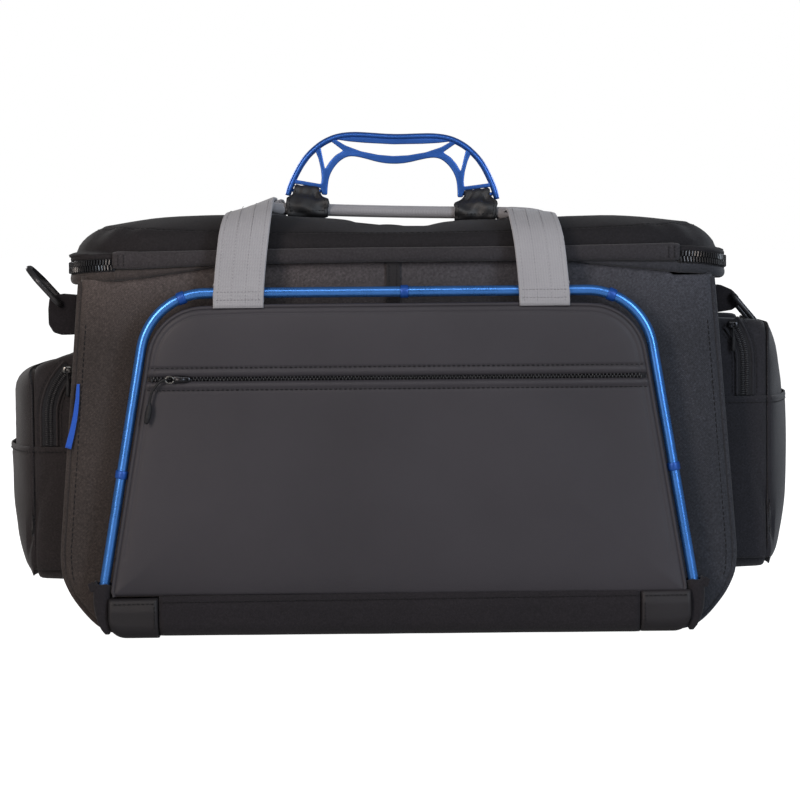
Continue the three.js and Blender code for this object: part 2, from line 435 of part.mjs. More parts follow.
for (const [side, Z, sgn, a] of [['left', LZ, -1, 136], ['right', RZ, 1, 34]]) {
  const [s, p] = sideSlider(Z, sgn, a);
  add(side + '_pocket_slider', s, 'slider_metal');
  add(side + '_pocket_pull', p, 'pull_rubber');
}

// ---- shoulder-strap rings on their tabs ----
const RING_Y = -60;
function dRing(px, pz, ang) {
  // straight bar along Y through (px, pz), bow towards ang
  const d = [Math.cos(rad(ang)), Math.sin(rad(ang))];
  const loop = fillet([[-18, 0], [18, 0], [18, 26], [9, 38], [-9, 38], [-18, 26]], [4, 4, 10, 9, 9, 10], 4, true);
  return wire(loop, 2.3, 10, (u, v) => [px + d[0] * v, RING_Y + u, pz + d[1] * v], [-d[1], 0, d[0]], true);
}
const LR = [-262.5, 251.5], RR = [262.5, 254];
function ringTab(sgn, [px, pz], drop) {
  const ax = Math.abs(px);
  const o = fillet([[ax - 9.6, pz - drop], [ax + 5, pz - drop], [ax + 6.5, pz], [ax + 2, pz + 6.5], [ax - 9.6, pz + 6]], [0, 4, 4, 4, 0], 3, true).map(p => [sgn * p[0], p[1]]);
  return prism(o, RING_Y - 11.5, RING_Y + 11.5, 'y', [circle(sgn * ax, pz, 2.95, 12)]);
}
add('left_ring_tab', ringTab(-1, LR, 22), 'boot_fabric');
add('right_ring_tab', ringTab(1, RR, 14), 'boot_fabric');
add('left_ring', dRing(LR[0], LR[1], 132), 'ring_wire');
add('right_ring', dRing(RR[0], RR[1], -50), 'ring_wire');

// ---- carry straps ----
// each strap is one band: a sewn eye round the tube, a leg up over the lid's edge, the
// band folded and turned into a rolled grip across the middle, and the same down again
function carryStrap(sy) {
  const T = STRAP_T / 2;
  const legYZ = fillet([[-155.2, 262], [-153.5, 292], [-141, 318], [-104, 326], [-40, 326.2]], [0, 40, 26, 60, 0], 5);
  const nrm = planarFrames(legYZ);
  const path = [], side = [], up = [], w = [], t = [];
  const leg = (x, flip) => {
    const rows = legYZ.map((p, i) => ({ p: [x, p[0], p[1]], n: [0, nrm[i][0], nrm[i][1]] }));
    return flip ? rows.reverse() : rows;
  };
  for (const r of leg(LEG_L, false)) { path.push(r.p); side.push([1, 0, 0]); up.push(r.n); w.push(STRAP_W / 2); t.push(T); }
  // fold: the band turns from running back to running across
  const R = 26.5, cy = -GRIP_Y - R, n = 6;
  for (let k = 1; k <= n; k++) {
    const f = k / n, a = rad(90 * f);
    path.push([LEG_L + R * (1 - Math.cos(a)), cy + R * Math.sin(a), 326.2 + (GRIP_Z - 326.2) * f]);
    side.push([Math.cos(a), -Math.sin(a), 0]); up.push([0, 0, 1]);
    w.push(STRAP_W / 2 + (6.2 - STRAP_W / 2) * Math.min(1, f * 1.15)); t.push(T + (4.9 - T) * f);
  }
  const L = path.length;
  for (let i = L - 1; i >= 0; i--) {
    const p = path[i];
    path.push([LEG_L + LEG_R - p[0], p[1], p[2]]);
    side.push(side[i][0] > 0.99 ? [-1, 0, 0] : [-side[i][0], side[i][1], 0]);
    const u = up[i]; up.push([-u[0], u[1], u[2]]);
    w.push(w[i]); t.push(t[i]);
  }
  // the second half runs down again, so its frames are the mirror images of the first half's
  const band = sweep(path.map(p => [p[0], sy * -p[1], p[2]]), side.map(v => [v[0], sy * -v[1], v[2]]), up.map(v => [v[0], sy * -v[1], v[2]]),
    i => { const a = w[i], b = t[i], c = Math.min(a, b) * 0.45; return [[-a + c, -b], [a - c, -b], [a, -b + c], [a, b - c], [a - c, b], [-a + c, b], [-a, b - c], [-a, -b + c]]; });
  const eye = x => prism(circle(sy * TUBE_Y, TUBE_TOP, 7.6, 22), x - STRAP_W / 2, x + STRAP_W / 2, 'x', [circle(sy * TUBE_Y, TUBE_TOP, 5.2, 18)]);
  return union(cut(band, prism(circle(sy * TUBE_Y, TUBE_TOP, 6, 22), LEG_L - 20, LEG_L + 20, 'x'), prism(circle(sy * TUBE_Y, TUBE_TOP, 6, 22), LEG_R - 20, LEG_R + 20, 'x')), eye(LEG_L), eye(LEG_R));
}
add('front_carry_strap', carryStrap(-1), 'webbing');
add('rear_carry_strap', carryStrap(1), 'webbing');

// ---- leather loops: narrow over the handle's bar, wide round the two grips ----
function leatherLoop(cx) {
  const line = fillet([[-5.8, 346.9], [5.8, 346.9], [15.4, 328.6], [15.2, 317.0], [-15.2, 317.0], [-15.4, 328.6]], [4.4, 4.4, 7, 4.5, 4.5, 7], 4, true);
  const nor = planarFrames(line, true);
  const wd = z => 8 + 9 * THREE.MathUtils.clamp((333 - z) / 12, 0, 1);
  return sweep(line.map(p => [cx, p[0], p[1]]), line.map(() => [1, 0, 0]), nor.map(v => [0, v[0], v[1]]),
    i => { const a = wd(line[i][1]); return [[-a, -0.8], [a, -0.8], [a, 0.8], [-a, 0.8]]; }, true);
}
add('leather_loop_left', leatherLoop(HANDLE_X - 67.4), 'loop_leather');
add('leather_loop_right', leatherLoop(HANDLE_X + 67.4), 'loop_leather');

// ---- grab handle ----
{
  const outerL = [[-86.5, 334.6], [-84.2, 341.5], [-79.4, 352.6], [-72.3, 365.2], [-62.2, 375.8], [-52.6, 381.8], [-43.0, 384.8], [-31.5, 385.9], [-17.8, 385.2], [-6, 384.6]];
  const outline = [...outerL, ...mirrorX(outerL), [80.4, 334.6], [78.2, 338.6], [58.2, 338.6], [56.6, 334.9], [52.4, 334.9], [51.8, 348.6], [46.8, 358.2], [40.8, 363.8], [35.3, 366.2], [28.2, 366], [18, 363.6], [7, 361.5],
    [-7, 361.5], [-18, 363.6], [-28.2, 366], [-35.3, 366.2], [-40.8, 363.8], [-46.8, 358.2], [-51.8, 348.6], [-52.4, 334.9], [-56.6, 334.9], [-58.2, 338.6], [-78.2, 338.6], [-80.4, 334.6]];
  const lens = [[-38.6, 378.3], [-23.3, 377], [0, 376.4], [23.3, 377], [38.6, 378.3], [37.4, 375.8], [26, 371.2], [12, 368.4], [0, 367.4], [-12, 368.4], [-26, 371.2], [-37.4, 375.8]];
  const legHole = [[-78, 343.9], [-72.4, 355.5], [-66.2, 365.6], [-61.6, 370.6], [-58.6, 362], [-56.6, 352.6], [-57, 345.2], [-58.4, 343.9]];
  const small = [[-57.6, 374.6], [-50.4, 376.2], [-41, 369.8], [-46.6, 365.4], [-52.2, 357], [-54.2, 363.4]];
  const sh = l => l.map(p => [p[0] + HANDLE_X, p[1]]);
  add('top_handle', prism(sh(outline), -3.4, 3.4, 'y', [sh(lens), sh(legHole), sh(mirrorX(legHole)), sh(small), sh(mirrorX(small))]), 'blue_casting');
}

// ---- padded dividers in the main compartment ----
for (const [side, x] of [['left', -84], ['right', 84]]) {
  add('divider_' + side, prism(fillet([[-115.6, 15.2], [115.6, 15.2], [115.6, 205], [-115.6, 205]], [2, 2, 12, 12], 3, true), x - 4, x + 4, 'x'), 'lining');
}

export default bag;
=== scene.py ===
# Looks for the padded camera shoulder bag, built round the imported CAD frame.
# Numbers are millimetres in the part's own drawing, moved by (SX, SY) into the row frame and turned into metres by pts().
import bpy
import math
import numpy as np
from mathutils import Matrix, Vector


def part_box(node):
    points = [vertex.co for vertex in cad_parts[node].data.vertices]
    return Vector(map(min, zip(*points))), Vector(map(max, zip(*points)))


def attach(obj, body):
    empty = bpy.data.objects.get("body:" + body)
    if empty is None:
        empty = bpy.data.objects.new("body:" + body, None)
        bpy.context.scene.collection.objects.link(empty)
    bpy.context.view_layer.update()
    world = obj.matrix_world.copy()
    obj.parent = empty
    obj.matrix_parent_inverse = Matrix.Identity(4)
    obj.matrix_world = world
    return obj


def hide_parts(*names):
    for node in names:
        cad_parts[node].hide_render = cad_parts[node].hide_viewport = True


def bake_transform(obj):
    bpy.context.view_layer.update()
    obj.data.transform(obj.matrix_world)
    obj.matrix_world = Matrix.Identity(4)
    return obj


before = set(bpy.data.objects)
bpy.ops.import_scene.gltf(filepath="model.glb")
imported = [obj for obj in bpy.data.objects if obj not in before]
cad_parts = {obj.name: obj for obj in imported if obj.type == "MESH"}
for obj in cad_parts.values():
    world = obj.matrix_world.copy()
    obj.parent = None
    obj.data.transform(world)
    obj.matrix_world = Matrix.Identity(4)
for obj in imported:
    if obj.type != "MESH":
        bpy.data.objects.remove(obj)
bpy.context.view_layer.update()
SX, SY = -1.95, 3.65
RNG = np.random.default_rng(11)


def pts(p):
    p = np.asarray(p, float).reshape(-1, 3).copy()
    p[:, 0] += SX
    p[:, 1] += SY
    return p * 0.001


# ------------------------------------------------------------------ mesh helpers
def make(name, verts, faces, mat, body, slot=None, smooth=True, st=None, replaces=(), padded=None, subsurf=0, mats=None, midx=None, flat_mm=False):
    me = bpy.data.meshes.new(name)
    v = np.asarray(verts, float).reshape(-1, 3)
    me.from_pydata(pts(v).tolist(), [], [list(map(int, f)) for f in faces])
    me.validate()
    me.update()
    for m in (mats or [mat]):
        me.materials.append(m)
    if midx is not None:
        me.polygons.foreach_set("material_index", np.asarray(midx, np.int32))
    if st is not None:
        a = me.attributes.new("st", "FLOAT_VECTOR", "POINT")
        a.data.foreach_set("vector", np.asarray(st, np.float32).ravel())
    me.polygons.foreach_set("use_smooth", [smooth] * len(me.polygons))
    o = bpy.data.objects.new(name, me)
    bpy.context.scene.collection.objects.link(o)
    if subsurf:
        m = o.modifiers.new("Subdivision", "SUBSURF")
        m.levels = m.render_levels = subsurf
    if body:
        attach(o, body)
    if replaces:
        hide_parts(*([replaces] if isinstance(replaces, str) else replaces))
    return o


def grid_faces(nu, nv, closed_u=False, closed_v=False, off=0):
    f = []
    for i in range(nu if closed_u else nu - 1):
        a, b = i * nv, ((i + 1) % nu) * nv
        for j in range(nv if closed_v else nv - 1):
            k = (j + 1) % nv
            f.append((off + a + j, off + a + k, off + b + k, off + b + j))
    return f


def fix_normals(o):
    """faces a closed or open mesh outwards"""
    import bmesh
    bm = bmesh.new()
    bm.from_mesh(o.data)
    bmesh.ops.recalc_face_normals(bm, faces=bm.faces)
    bm.to_mesh(o.data)
    bm.free()
    return o


def arc(cx, cy, r, a0, a1, n):
    t = np.radians(np.linspace(a0, a1, n + 1))
    return np.stack([cx + r * np.cos(t), cy + r * np.sin(t)], 1)


def rrect(x0, y0, x1, y1, r, n=6):
    return np.concatenate([arc(x1 - r, y1 - r, r, 0, 90, n), arc(x0 + r, y1 - r, r, 90, 180, n),
                           arc(x0 + r, y0 + r, r, 180, 270, n), arc(x1 - r, y0 + r, r, 270, 360, n)])


def fillet(points, radii, n=8, closed=False):
    out, N = [], len(points)
    P = [np.array(p, float) for p in points]
    for i in range(N):
        r = radii[i] if hasattr(radii, "__len__") else radii
        if (not closed and i in (0, N - 1)) or not r:
            out.append(P[i])
            continue
        a, b = P[i - 1] - P[i], P[(i + 1) % N] - P[i]
        la, lb = np.linalg.norm(a), np.linalg.norm(b)
        a, b = a / la, b / lb
        half = math.acos(np.clip(a @ b, -1, 1)) / 2
        t = min(r / math.tan(half), la * 0.49, lb * 0.49)
        rr = t * math.tan(half)
        m = a + b
        c = P[i] + m / np.linalg.norm(m) * (rr / math.sin(half))
        s, e = P[i] + a * t - c, P[i] + b * t - c
        a0, a1 = math.atan2(s[1], s[0]), math.atan2(e[1], e[0])
        while a1 - a0 > math.pi:
            a1 -= 2 * math.pi
        while a1 - a0 < -math.pi:
            a1 += 2 * math.pi
        for k in range(n + 1):
            q = a0 + (a1 - a0) * k / n
            out.append(c + rr * np.array([math.cos(q), math.sin(q)]))
    return np.array(out)


def resample(path, step=None, n=None, closed=False):
    p = np.asarray(path, float)
    if closed:
        p = np.vstack([p, p[:1]])
    d = np.r_[0, np.cumsum(np.linalg.norm(np.diff(p, axis=0), axis=1))]
    keep = np.r_[True, np.diff(d) > 1e-9]
    p, d = p[keep], d[keep]
    if n is None:
        n = max(2, int(round(d[-1] / step)) + (0 if closed else 1))
    t = np.linspace(0, d[-1], n + 1)[:-1] if closed else np.linspace(0, d[-1], n)
    return np.stack([np.interp(t, d, p[:, k]) for k in range(p.shape[1])], 1)


def smooth_path(p, times=2, closed=False):
    p = np.asarray(p, float)
    for _ in range(times):
        q = p.copy()
        if closed:
            q = 0.25 * np.roll(p, 1, 0) + 0.5 * p + 0.25 * np.roll(p, -1, 0)
        else:
            q[1:-1] = 0.25 * p[:-2] + 0.5 * p[1:-1] + 0.25 * p[2:]
        p = q
    return p


def frames(path, closed=False, ref=(0, 0, 1)):
    """tangent, side, up along a path by parallel transport from ref"""
    p = np.asarray(path, float)
    if closed:
        t = np.roll(p, -1, 0) - np.roll(p, 1, 0)
    else:
        t = np.gradient(p, axis=0)
    t /= np.linalg.norm(t, axis=1)[:, None]
    up = np.zeros_like(p)
    u = np.array(ref, float)
    for i in range(len(p)):
        u = u - t[i] * (u @ t[i])
        u /= np.linalg.norm(u)
        up[i] = u
    side = np.cross(t, up)
    return t, side, up


def sweep(name, path, sec, mat, body, side=None, up=None, closed=False, ref=(0, 0, 1), cap=True, st_scale=None, **k):
    """sec is (m,2) or a list of them, one per point: a along side, b along up"""
    p = np.asarray(path, float)
    if side is None:
        _, side, up = frames(p, closed, ref)
    n = len(p)
    secs = [np.asarray(sec[i] if isinstance(sec, (list, tuple)) else sec, float) for i in range(n)]
    m = len(secs[0])
    V = np.concatenate([p[i] + secs[i][:, :1] * side[i] + secs[i][:, 1:] * up[i] for i in range(n)])
    F = grid_faces(n, m, closed, True)
    if cap and not closed:
        F += [tuple(range(m))[::-1], tuple((n - 1) * m + j for j in range(m))]
    d = np.r_[0, np.cumsum(np.linalg.norm(np.diff(p, axis=0), axis=1))]
    st = np.concatenate([np.stack([np.full(m, d[i]), secs[i][:, 0], secs[i][:, 1]], 1) for i in range(n)]) * 0.001
    return fix_normals(make(name, V, F, mat, body, st=st, **k))


def circle(r, n=16, ry=None):
    t = np.linspace(0, 2 * math.pi, n, endpoint=False)
    return np.stack([r * np.cos(t), (ry or r) * np.sin(t)], 1)


def rbox(w, h, r, n=3):
    return rrect(-w, -h, w, h, r, n)


def copies(name, V0, F0, mats3, mat, body, **k):
    """many copies of a small mesh as one object; mats3 is a list of (R 3x3, t)"""
    V0 = np.asarray(V0, float)
    V, F = [], []
    for i, (R, t) in enumerate(mats3):
        V.append(V0 @ np.asarray(R).T + np.asarray(t))
        F += [tuple(i * len(V0) + j for j in f) for f in F0]
    if not V:
        return None
    return make(name, np.concatenate(V), F, mat, body, **k)


def bead(l, w, h, seg=6):
    """a stitch: a little loaf of length l along x, w across y, h high along z"""
    xs = np.array([-0.5, -0.4, -0.18, 0.18, 0.4, 0.5]) * l
    s = np.array([0.25, 0.75, 1, 1, 0.75, 0.25])
    c = circle(0.5, seg)
    V = np.concatenate([np.stack([np.full(seg, x), c[:, 0] * w * q, c[:, 1] * h * q], 1) for x, q in zip(xs, s)])
    F = grid_faces(len(xs), seg, False, True)
    F += [tuple(range(seg))[::-1], tuple((len(xs) - 1) * seg + j for j in range(seg))]
    return V, [f[::-1] for f in F]


def chunk(l, w, h, b=0.25):
    """a rounded block: l along x, w along y, h along z, with bevelled edges"""
    V, F = [], []
    sx, sy, sz = l / 2, w / 2, h / 2
    lv = [(-sz, b), (-sz + b, 0), (sz - b, 0), (sz, b)]
    for z, i in lv:
        for x, y in [(-sx + i + b, -sy + i), (sx - i - b, -sy + i), (sx - i, -sy + i + b), (sx - i, sy - i - b),
                     (sx - i - b, sy - i), (-sx + i + b, sy - i), (-sx + i, sy - i - b), (-sx + i, -sy + i + b)]:
            V.append((x, y, z))
    F = [f[::-1] for f in grid_faces(4, 8, False, True)]
    F = [tuple(reversed(f)) for f in F]
    F += [tuple(range(8))[::-1], tuple(24 + j for j in range(8))]
    return np.array(V), F


def stitches(name, path, nor, mat, body, pitch=3.6, length=2.7, w=0.75, h=0.6, closed=False, **k):
    """a row of stitches along a 3-D path; nor is the surface normal (one, or one per point)"""
    p = np.asarray(path, float)
    q = resample(p, pitch, closed=closed)
    d = np.r_[0, np.cumsum(np.linalg.norm(np.diff(p, axis=0), axis=1))]
    nor = np.asarray(nor, float)
    if nor.ndim == 1:
        N = np.tile(nor, (len(q), 1))
    else:
        dq = np.linspace(0, d[-1], len(q))
        N = np.stack([np.interp(dq, d, nor[:, i]) for i in range(3)], 1)
    T = []
    for i in range(len(q) - (0 if closed else 1)):
        a, b = q[i], q[(i + 1) % len(q)]
        x = (b - a) / np.linalg.norm(b - a)
        z = N[i] - x * (N[i] @ x)
        z /= np.linalg.norm(z)
        y = np.cross(z, x)
        T.append((np.stack([x, y, z], 1), (a + b) / 2 + z * h * 0.12))
    V0, F0 = bead(length, w, h)
    return copies(name, V0, F0, T, mat, body, **k)


def wob(x, y, seed, amp, wl):
    """smooth repeatable waviness"""
    r = np.random.default_rng(seed)
    out = 0
    for _ in range(7):
        a = r.uniform(0, 2 * math.pi)
        L = wl * r.uniform(0.6, 1.8)
        out = out + np.sin((np.cos(a) * x + np.sin(a) * y) * 2 * math.pi / L + r.uniform(0, 6.28)) * r.uniform(0.4, 1)
    return amp * out / 3.2


def seg_dist(P, line, closed=True):
    """distance of points P (n,2) to a polyline"""
    L = np.asarray(line, float)
    A = L if closed else L[:-1]
    B = np.roll(L, -1, 0) if closed else L[1:]
    d = np.full(len(P), 1e9)
    for a, b in zip(A, B):
        ab = b - a
        ll = ab @ ab
        if ll < 1e-12:
            continue
        t = np.clip(((P - a) @ ab) / ll, 0, 1)
        q = a + t[:, None] * ab
        d = np.minimum(d, np.hypot(P[:, 0] - q[:, 0], P[:, 1] - q[:, 1]))
    return d


def roll_edge(d, r):
    """how far an edge of radius r drops back, at distance d from the edge"""
    u = np.clip(1 - d / r, 0, 1)
    return r * (1 - np.sqrt(np.clip(1 - u * u, 0, 1)))


def closed_sheet(name, P, back, mat, body, **k):
    """grid P (nu,nv,3), its border carried to 'back' (function of the border points) and capped"""
    nu, nv = P.shape[:2]
    V = P.reshape(-1, 3)
    F = grid_faces(nu, nv)
    idx = [i * nv for i in range(nu)] + [(nu - 1) * nv + j for j in range(1, nv)] + [i * nv + nv - 1 for i in range(nu - 2, -1, -1)] + [j for j in range(nv - 2, 0, -1)]
    B = back(V[idx])
    n = len(idx)
    off = len(V)
    for a in range(n):
        b = (a + 1) % n
        F.append((idx[a], idx[b], off + b, off + a))
    F.append(tuple(off + a for a in range(n)))
    return fix_normals(make(name, np.concatenate([V, B]), F, mat, body, **k))


# ------------------------------------------------------------------ materials
def new_mat(name):
    m = bpy.data.materials.new(name)
    m.use_nodes = True
    nt = m.node_tree
    for n in list(nt.nodes):
        nt.nodes.remove(n)
    out = nt.nodes.new("ShaderNodeOutputMaterial")
    b = nt.nodes.new("ShaderNodeBsdfPrincipled")
    nt.links.new(b.outputs[0], out.inputs[0])
    return m, nt, b


def node(nt, kind, **v):
    n = nt.nodes.new(kind)
    for k, x in v.items():
        if hasattr(n, k) and not k.startswith("in_"):
            setattr(n, k, x)
    return n


def link(nt, a, b):
    nt.links.new(a, b)


def math_node(nt, op, a, b=None, c=None):
    n = nt.nodes.new("ShaderNodeMath")
    n.operation = op
    for i, x in enumerate((a, b, c)):
        if x is None:
            continue
        if isinstance(x, (int, float)):
            n.inputs[i].default_value = x
        else:
            nt.links.new(x, n.inputs[i])
    return n.outputs[0]


def ramp(nt, fac, stops):
    n = nt.nodes.new("ShaderNodeValToRGB")
    e = n.color_ramp.elements
    while len(e) > 1:
        e.remove(e[-1])
    e[0].position, e[0].color = stops[0][0], (*stops[0][1], 1)
    for p, c in stops[1:]:
        x = e.new(p)
        x.color = (*c, 1)
    nt.links.new(fac, n.inputs[0])
    return n.outputs[0]


def noise(nt, vec, scale, detail=2.0, rough=0.5):
    n = nt.nodes.new("ShaderNodeTexNoise")
    n.inputs["Scale"].default_value = scale
    n.inputs["Detail"].default_value = detail
    n.inputs["Roughness"].default_value = rough
    nt.links.new(vec, n.inputs["Vector"])
    return n.outputs["Fac"]


def coords(nt, st=False):
    if st:
        n = nt.nodes.new("ShaderNodeAttribute")
        n.attribute_name = "st"
        return n.outputs["Vector"]
    return nt.nodes.new("ShaderNodeTexCoord").outputs["Object"]


def dotwave(nt, vec, k):
    """sine of the dot product of the coordinates with k (radians per metre)"""
    n = nt.nodes.new("ShaderNodeVectorMath")
    n.operation = "DOT_PRODUCT"
    nt.links.new(vec, n.inputs[0])
    n.inputs[1].default_value = k
    return math_node(nt, "SINE", n.outputs["Value"])


def bump(nt, height, b, dist, strength=1.0, before=None):
    n = nt.nodes.new("ShaderNodeBump")
    n.inputs["Distance"].default_value = dist
    n.inputs["Strength"].default_value = strength
    nt.links.new(height, n.inputs["Height"])
    if before is not None:
        nt.links.new(before, n.inputs["Normal"])
    nt.links.new(n.outputs[0], b.inputs["Normal"])
    return n.outputs[0]


def woven(name, dark, light, pitch=1.5, rough=0.86, sheen=0.35, st=False, var=0.35, depth=0.00022, fleck=0.5, painted_warm_cool_light=0.0, lift=0.0):
    m, nt, b = new_mat(name)
    co = coords(nt, st)
    k = 2 * math.pi / (pitch * 0.001)
    w1 = dotwave(nt, co, (k, k, k))
    w2 = dotwave(nt, co, (k * 0.5, -k * 0.9, -k * 0.62))
    grain = noise(nt, co, 1300, 3, 0.65)
    big = noise(nt, co, 9, 3, 0.55)
    h = math_node(nt, "ADD", math_node(nt, "MULTIPLY", w1, 0.12), math_node(nt, "MULTIPLY", w2, 0.04))
    h = math_node(nt, "ADD", h, math_node(nt, "MULTIPLY", grain, fleck * 2.2))
    f = math_node(nt, "ADD", math_node(nt, "MULTIPLY", h, 0.55), math_node(nt, "MULTIPLY", big, var))
    f = math_node(nt, "ADD", f, math_node(nt, "MULTIPLY", math_node(nt, "SUBTRACT", noise(nt, co, 680, 2, 0.6), 0.5), 0.85))
    col = ramp(nt, f, [(0.22, dark), (0.6, tuple((p * q) ** 0.5 for p, q in zip(dark, light))), (1.0, light)])
    if painted_warm_cool_light or lift:
        # painted light: the cloth is tinted warmer at the left end and cooler at the right, a painted stand-in for the
        # warm lamp on the left and the cool lamp on the right; lift paints it paler towards the top, painted light from
        # above where it curves up under the strip
        sx_ = nt.nodes.new("ShaderNodeSeparateXYZ")
        link(nt, coords(nt), sx_.inputs[0])
        # painted side light: warm-to-cool colour gradient across x
        gx = math_node(nt, "ADD", math_node(nt, "MULTIPLY", sx_.outputs[0], 1.9), 0.5)
        painted_warm_cool_col = ramp(nt, gx, [(0.0, (0.5 * (1 + painted_warm_cool_light), 0.5, 0.5 * (1 - painted_warm_cool_light * 0.9))), (1.0, (0.5 * (1 - painted_warm_cool_light), 0.5 * (1 - painted_warm_cool_light * 0.1), 0.5 * (1 + painted_warm_cool_light)))])
        # painted top light: lift scales the colour up from z 0.225 m to 0.27 m
        painted_top_light_gain = math_node(nt, "MULTIPLY", math_node(nt, "SUBTRACT", sx_.outputs[2], 0.225), 1 / 0.045)
        painted_top_light_gain = math_node(nt, "ADD", math_node(nt, "MULTIPLY", math_node(nt, "MINIMUM", math_node(nt, "MAXIMUM", painted_top_light_gain, 0.0), 1.0), lift * 2), 2.0)
        v1 = nt.nodes.new("ShaderNodeVectorMath")
        v1.operation = "MULTIPLY"
        link(nt, col, v1.inputs[0])
        link(nt, painted_warm_cool_col, v1.inputs[1])
        v2 = nt.nodes.new("ShaderNodeVectorMath")
        v2.operation = "SCALE"
        link(nt, v1.outputs[0], v2.inputs[0])
        link(nt, painted_top_light_gain, v2.inputs["Scale"])
        col = v2.outputs[0]
    link(nt, col, b.inputs["Base Color"])
    r = ramp(nt, grain, [(0.3, (rough - 0.08,) * 3), (0.7, (min(1, rough + 0.06),) * 3)])
    link(nt, r, b.inputs["Roughness"])
    b.inputs["Sheen Weight"].default_value = sheen * 0.45
    b.inputs["Sheen Roughness"].default_value = 0.5
    b.inputs["Specular IOR Level"].default_value = 0.25
    mid = noise(nt, co, 60, 3, 0.5)
    n1 = bump(nt, h, b, depth, 0.9)
    bump(nt, mid, b, 0.0006, 0.5, before=n1)
    return m


def laminate(name, dark, light, rough=0.55, depth=0.00008):
    m, nt, b = new_mat(name)
    co = coords(nt)
    fine = noise(nt, co, 1700, 4, 0.6)
    big = noise(nt, co, 7, 3, 0.5)
    smudge = noise(nt, co, 38, 5, 0.62)
    f = math_node(nt, "ADD", math_node(nt, "MULTIPLY", big, 0.65), math_node(nt, "MULTIPLY", fine, 0.25))
    col = ramp(nt, f, [(0.25, dark), (0.75, light)])
    link(nt, col, b.inputs["Base Color"])
    r = ramp(nt, smudge, [(0.3, (rough - 0.07,) * 3), (0.75, (rough + 0.08,) * 3)])
    link(nt, r, b.inputs["Roughness"])
    b.inputs["Specular IOR Level"].default_value = 0.32
    n1 = bump(nt, fine, b, depth, 0.8)
    bump(nt, smudge, b, 0.0005, 0.25, before=n1)
    return m


def metal(name, dark, light, rough=0.3, grain=0.5, coat=0.0, metallic=1.0):
    m, nt, b = new_mat(name)
    co = coords(nt)
    big = noise(nt, co, 40, 3, 0.5)
    fine = noise(nt, co, 2600, 2, 0.5)
    col = ramp(nt, big, [(0.3, dark), (0.7, light)])
    link(nt, col, b.inputs["Base Color"])
    r = ramp(nt, math_node(nt, "ADD", math_node(nt, "MULTIPLY", fine, 0.5), math_node(nt, "MULTIPLY", big, 0.5)),
             [(0.3, (rough - 0.05,) * 3), (0.7, (rough + 0.07,) * 3)])
    link(nt, r, b.inputs["Roughness"])
    b.inputs["Metallic"].default_value = metallic
    b.inputs["Coat Weight"].default_value = coat
    if grain > 0:
        bump(nt, fine, b, 0.00003 * grain, 0.6)
    return m


def web_mat(name, dark, light, rib=1.9, rough=0.82):
    """webbing: fine cross picks and long ribs, along the strip's own coordinates"""
    m, nt, b = new_mat(name)
    co = coords(nt, True)
    sep = nt.nodes.new("ShaderNodeSeparateXYZ")
    link(nt, co, sep.inputs[0])
    s, t = sep.outputs[0], sep.outputs[1]
    ks, kt = 2 * math.pi / 0.0011, 2 * math.pi / (rib * 0.001)
    picks = math_node(nt, "SINE", math_node(nt, "MULTIPLY", s, ks))
    ribs = math_node(nt, "SINE", math_node(nt, "MULTIPLY", t, kt))
    twill = math_node(nt, "SINE", math_node(nt, "ADD", math_node(nt, "MULTIPLY", s, ks * 0.5), math_node(nt, "MULTIPLY", t, kt * 1.5)))
    ob = coords(nt)
    grain = noise(nt, ob, 1400, 3, 0.6)
    big = noise(nt, ob, 24, 3, 0.5)
    h = math_node(nt, "ADD", math_node(nt, "MULTIPLY", picks, 0.18), math_node(nt, "MULTIPLY", ribs, 0.12))
    h = math_node(nt, "ADD", h, math_node(nt, "MULTIPLY", twill, 0.16))
    h = math_node(nt, "ADD", h, grain)
    f = math_node(nt, "ADD", math_node(nt, "MULTIPLY", h, 0.6), math_node(nt, "MULTIPLY", big, 0.35))
    link(nt, ramp(nt, f, [(0.1, dark), (0.9, light)]), b.inputs["Base Color"])
    b.inputs["Roughness"].default_value = rough
    b.inputs["Sheen Weight"].default_value = 0.2
    b.inputs["Specular IOR Level"].default_value = 0.3
    bump(nt, h, b, 0.0002, 0.9)
    return m


# the warm/cool tint given below paints a warm-left, cool-right light gradient into these cloths
FAB = woven("body_weave", (0.019, 0.0175, 0.0185), (0.098, 0.089, 0.094), painted_warm_cool_light=0.17)
# front panel cloth with lift: its top band is painted paler, painted light from above
FAB_FRONT_PAINTED_TOPLIGHT = woven("body_weave_front_painted_toplight", (0.019, 0.0175, 0.0185), (0.098, 0.089, 0.094), painted_warm_cool_light=0.17, lift=0.75)
FAB2 = woven("pouch_weave", (0.0115, 0.0105, 0.012), (0.050, 0.044, 0.051), pitch=1.3, painted_warm_cool_light=0.10)
LIDM = woven("lid_weave", (0.0092, 0.0083, 0.0093), (0.0345, 0.0310, 0.0353), pitch=1.4, painted_warm_cool_light=0.05, sheen=0.06)
WELTM = woven("strip_weave", (0.019, 0.0172, 0.0190), (0.080, 0.073, 0.081), pitch=1.4, painted_warm_cool_light=0.05)
PU = laminate("pocket_laminate", (0.0315, 0.0290, 0.0340), (0.0490, 0.0452, 0.0530))
BOOT = woven("boot_weave", (0.009, 0.0078, 0.0096), (0.034, 0.029, 0.035), pitch=1.1, sheen=0.2)
PATCH = laminate("boot_patch_skin", (0.0122, 0.0110, 0.0125), (0.025, 0.0222, 0.025), rough=0.56)
TAPE = woven("zip_tape_weave", (0.012, 0.012, 0.014), (0.034, 0.034, 0.038), pitch=0.9, sheen=0.15)
TEETH = metal("zip_teeth_plastic", (0.008, 0.008, 0.009), (0.018, 0.018, 0.020), rough=0.26, metallic=0.0, coat=0.25)
COIL = metal("zip_coil", (0.012, 0.012, 0.014), (0.03, 0.03, 0.034), rough=0.42, metallic=0.0)
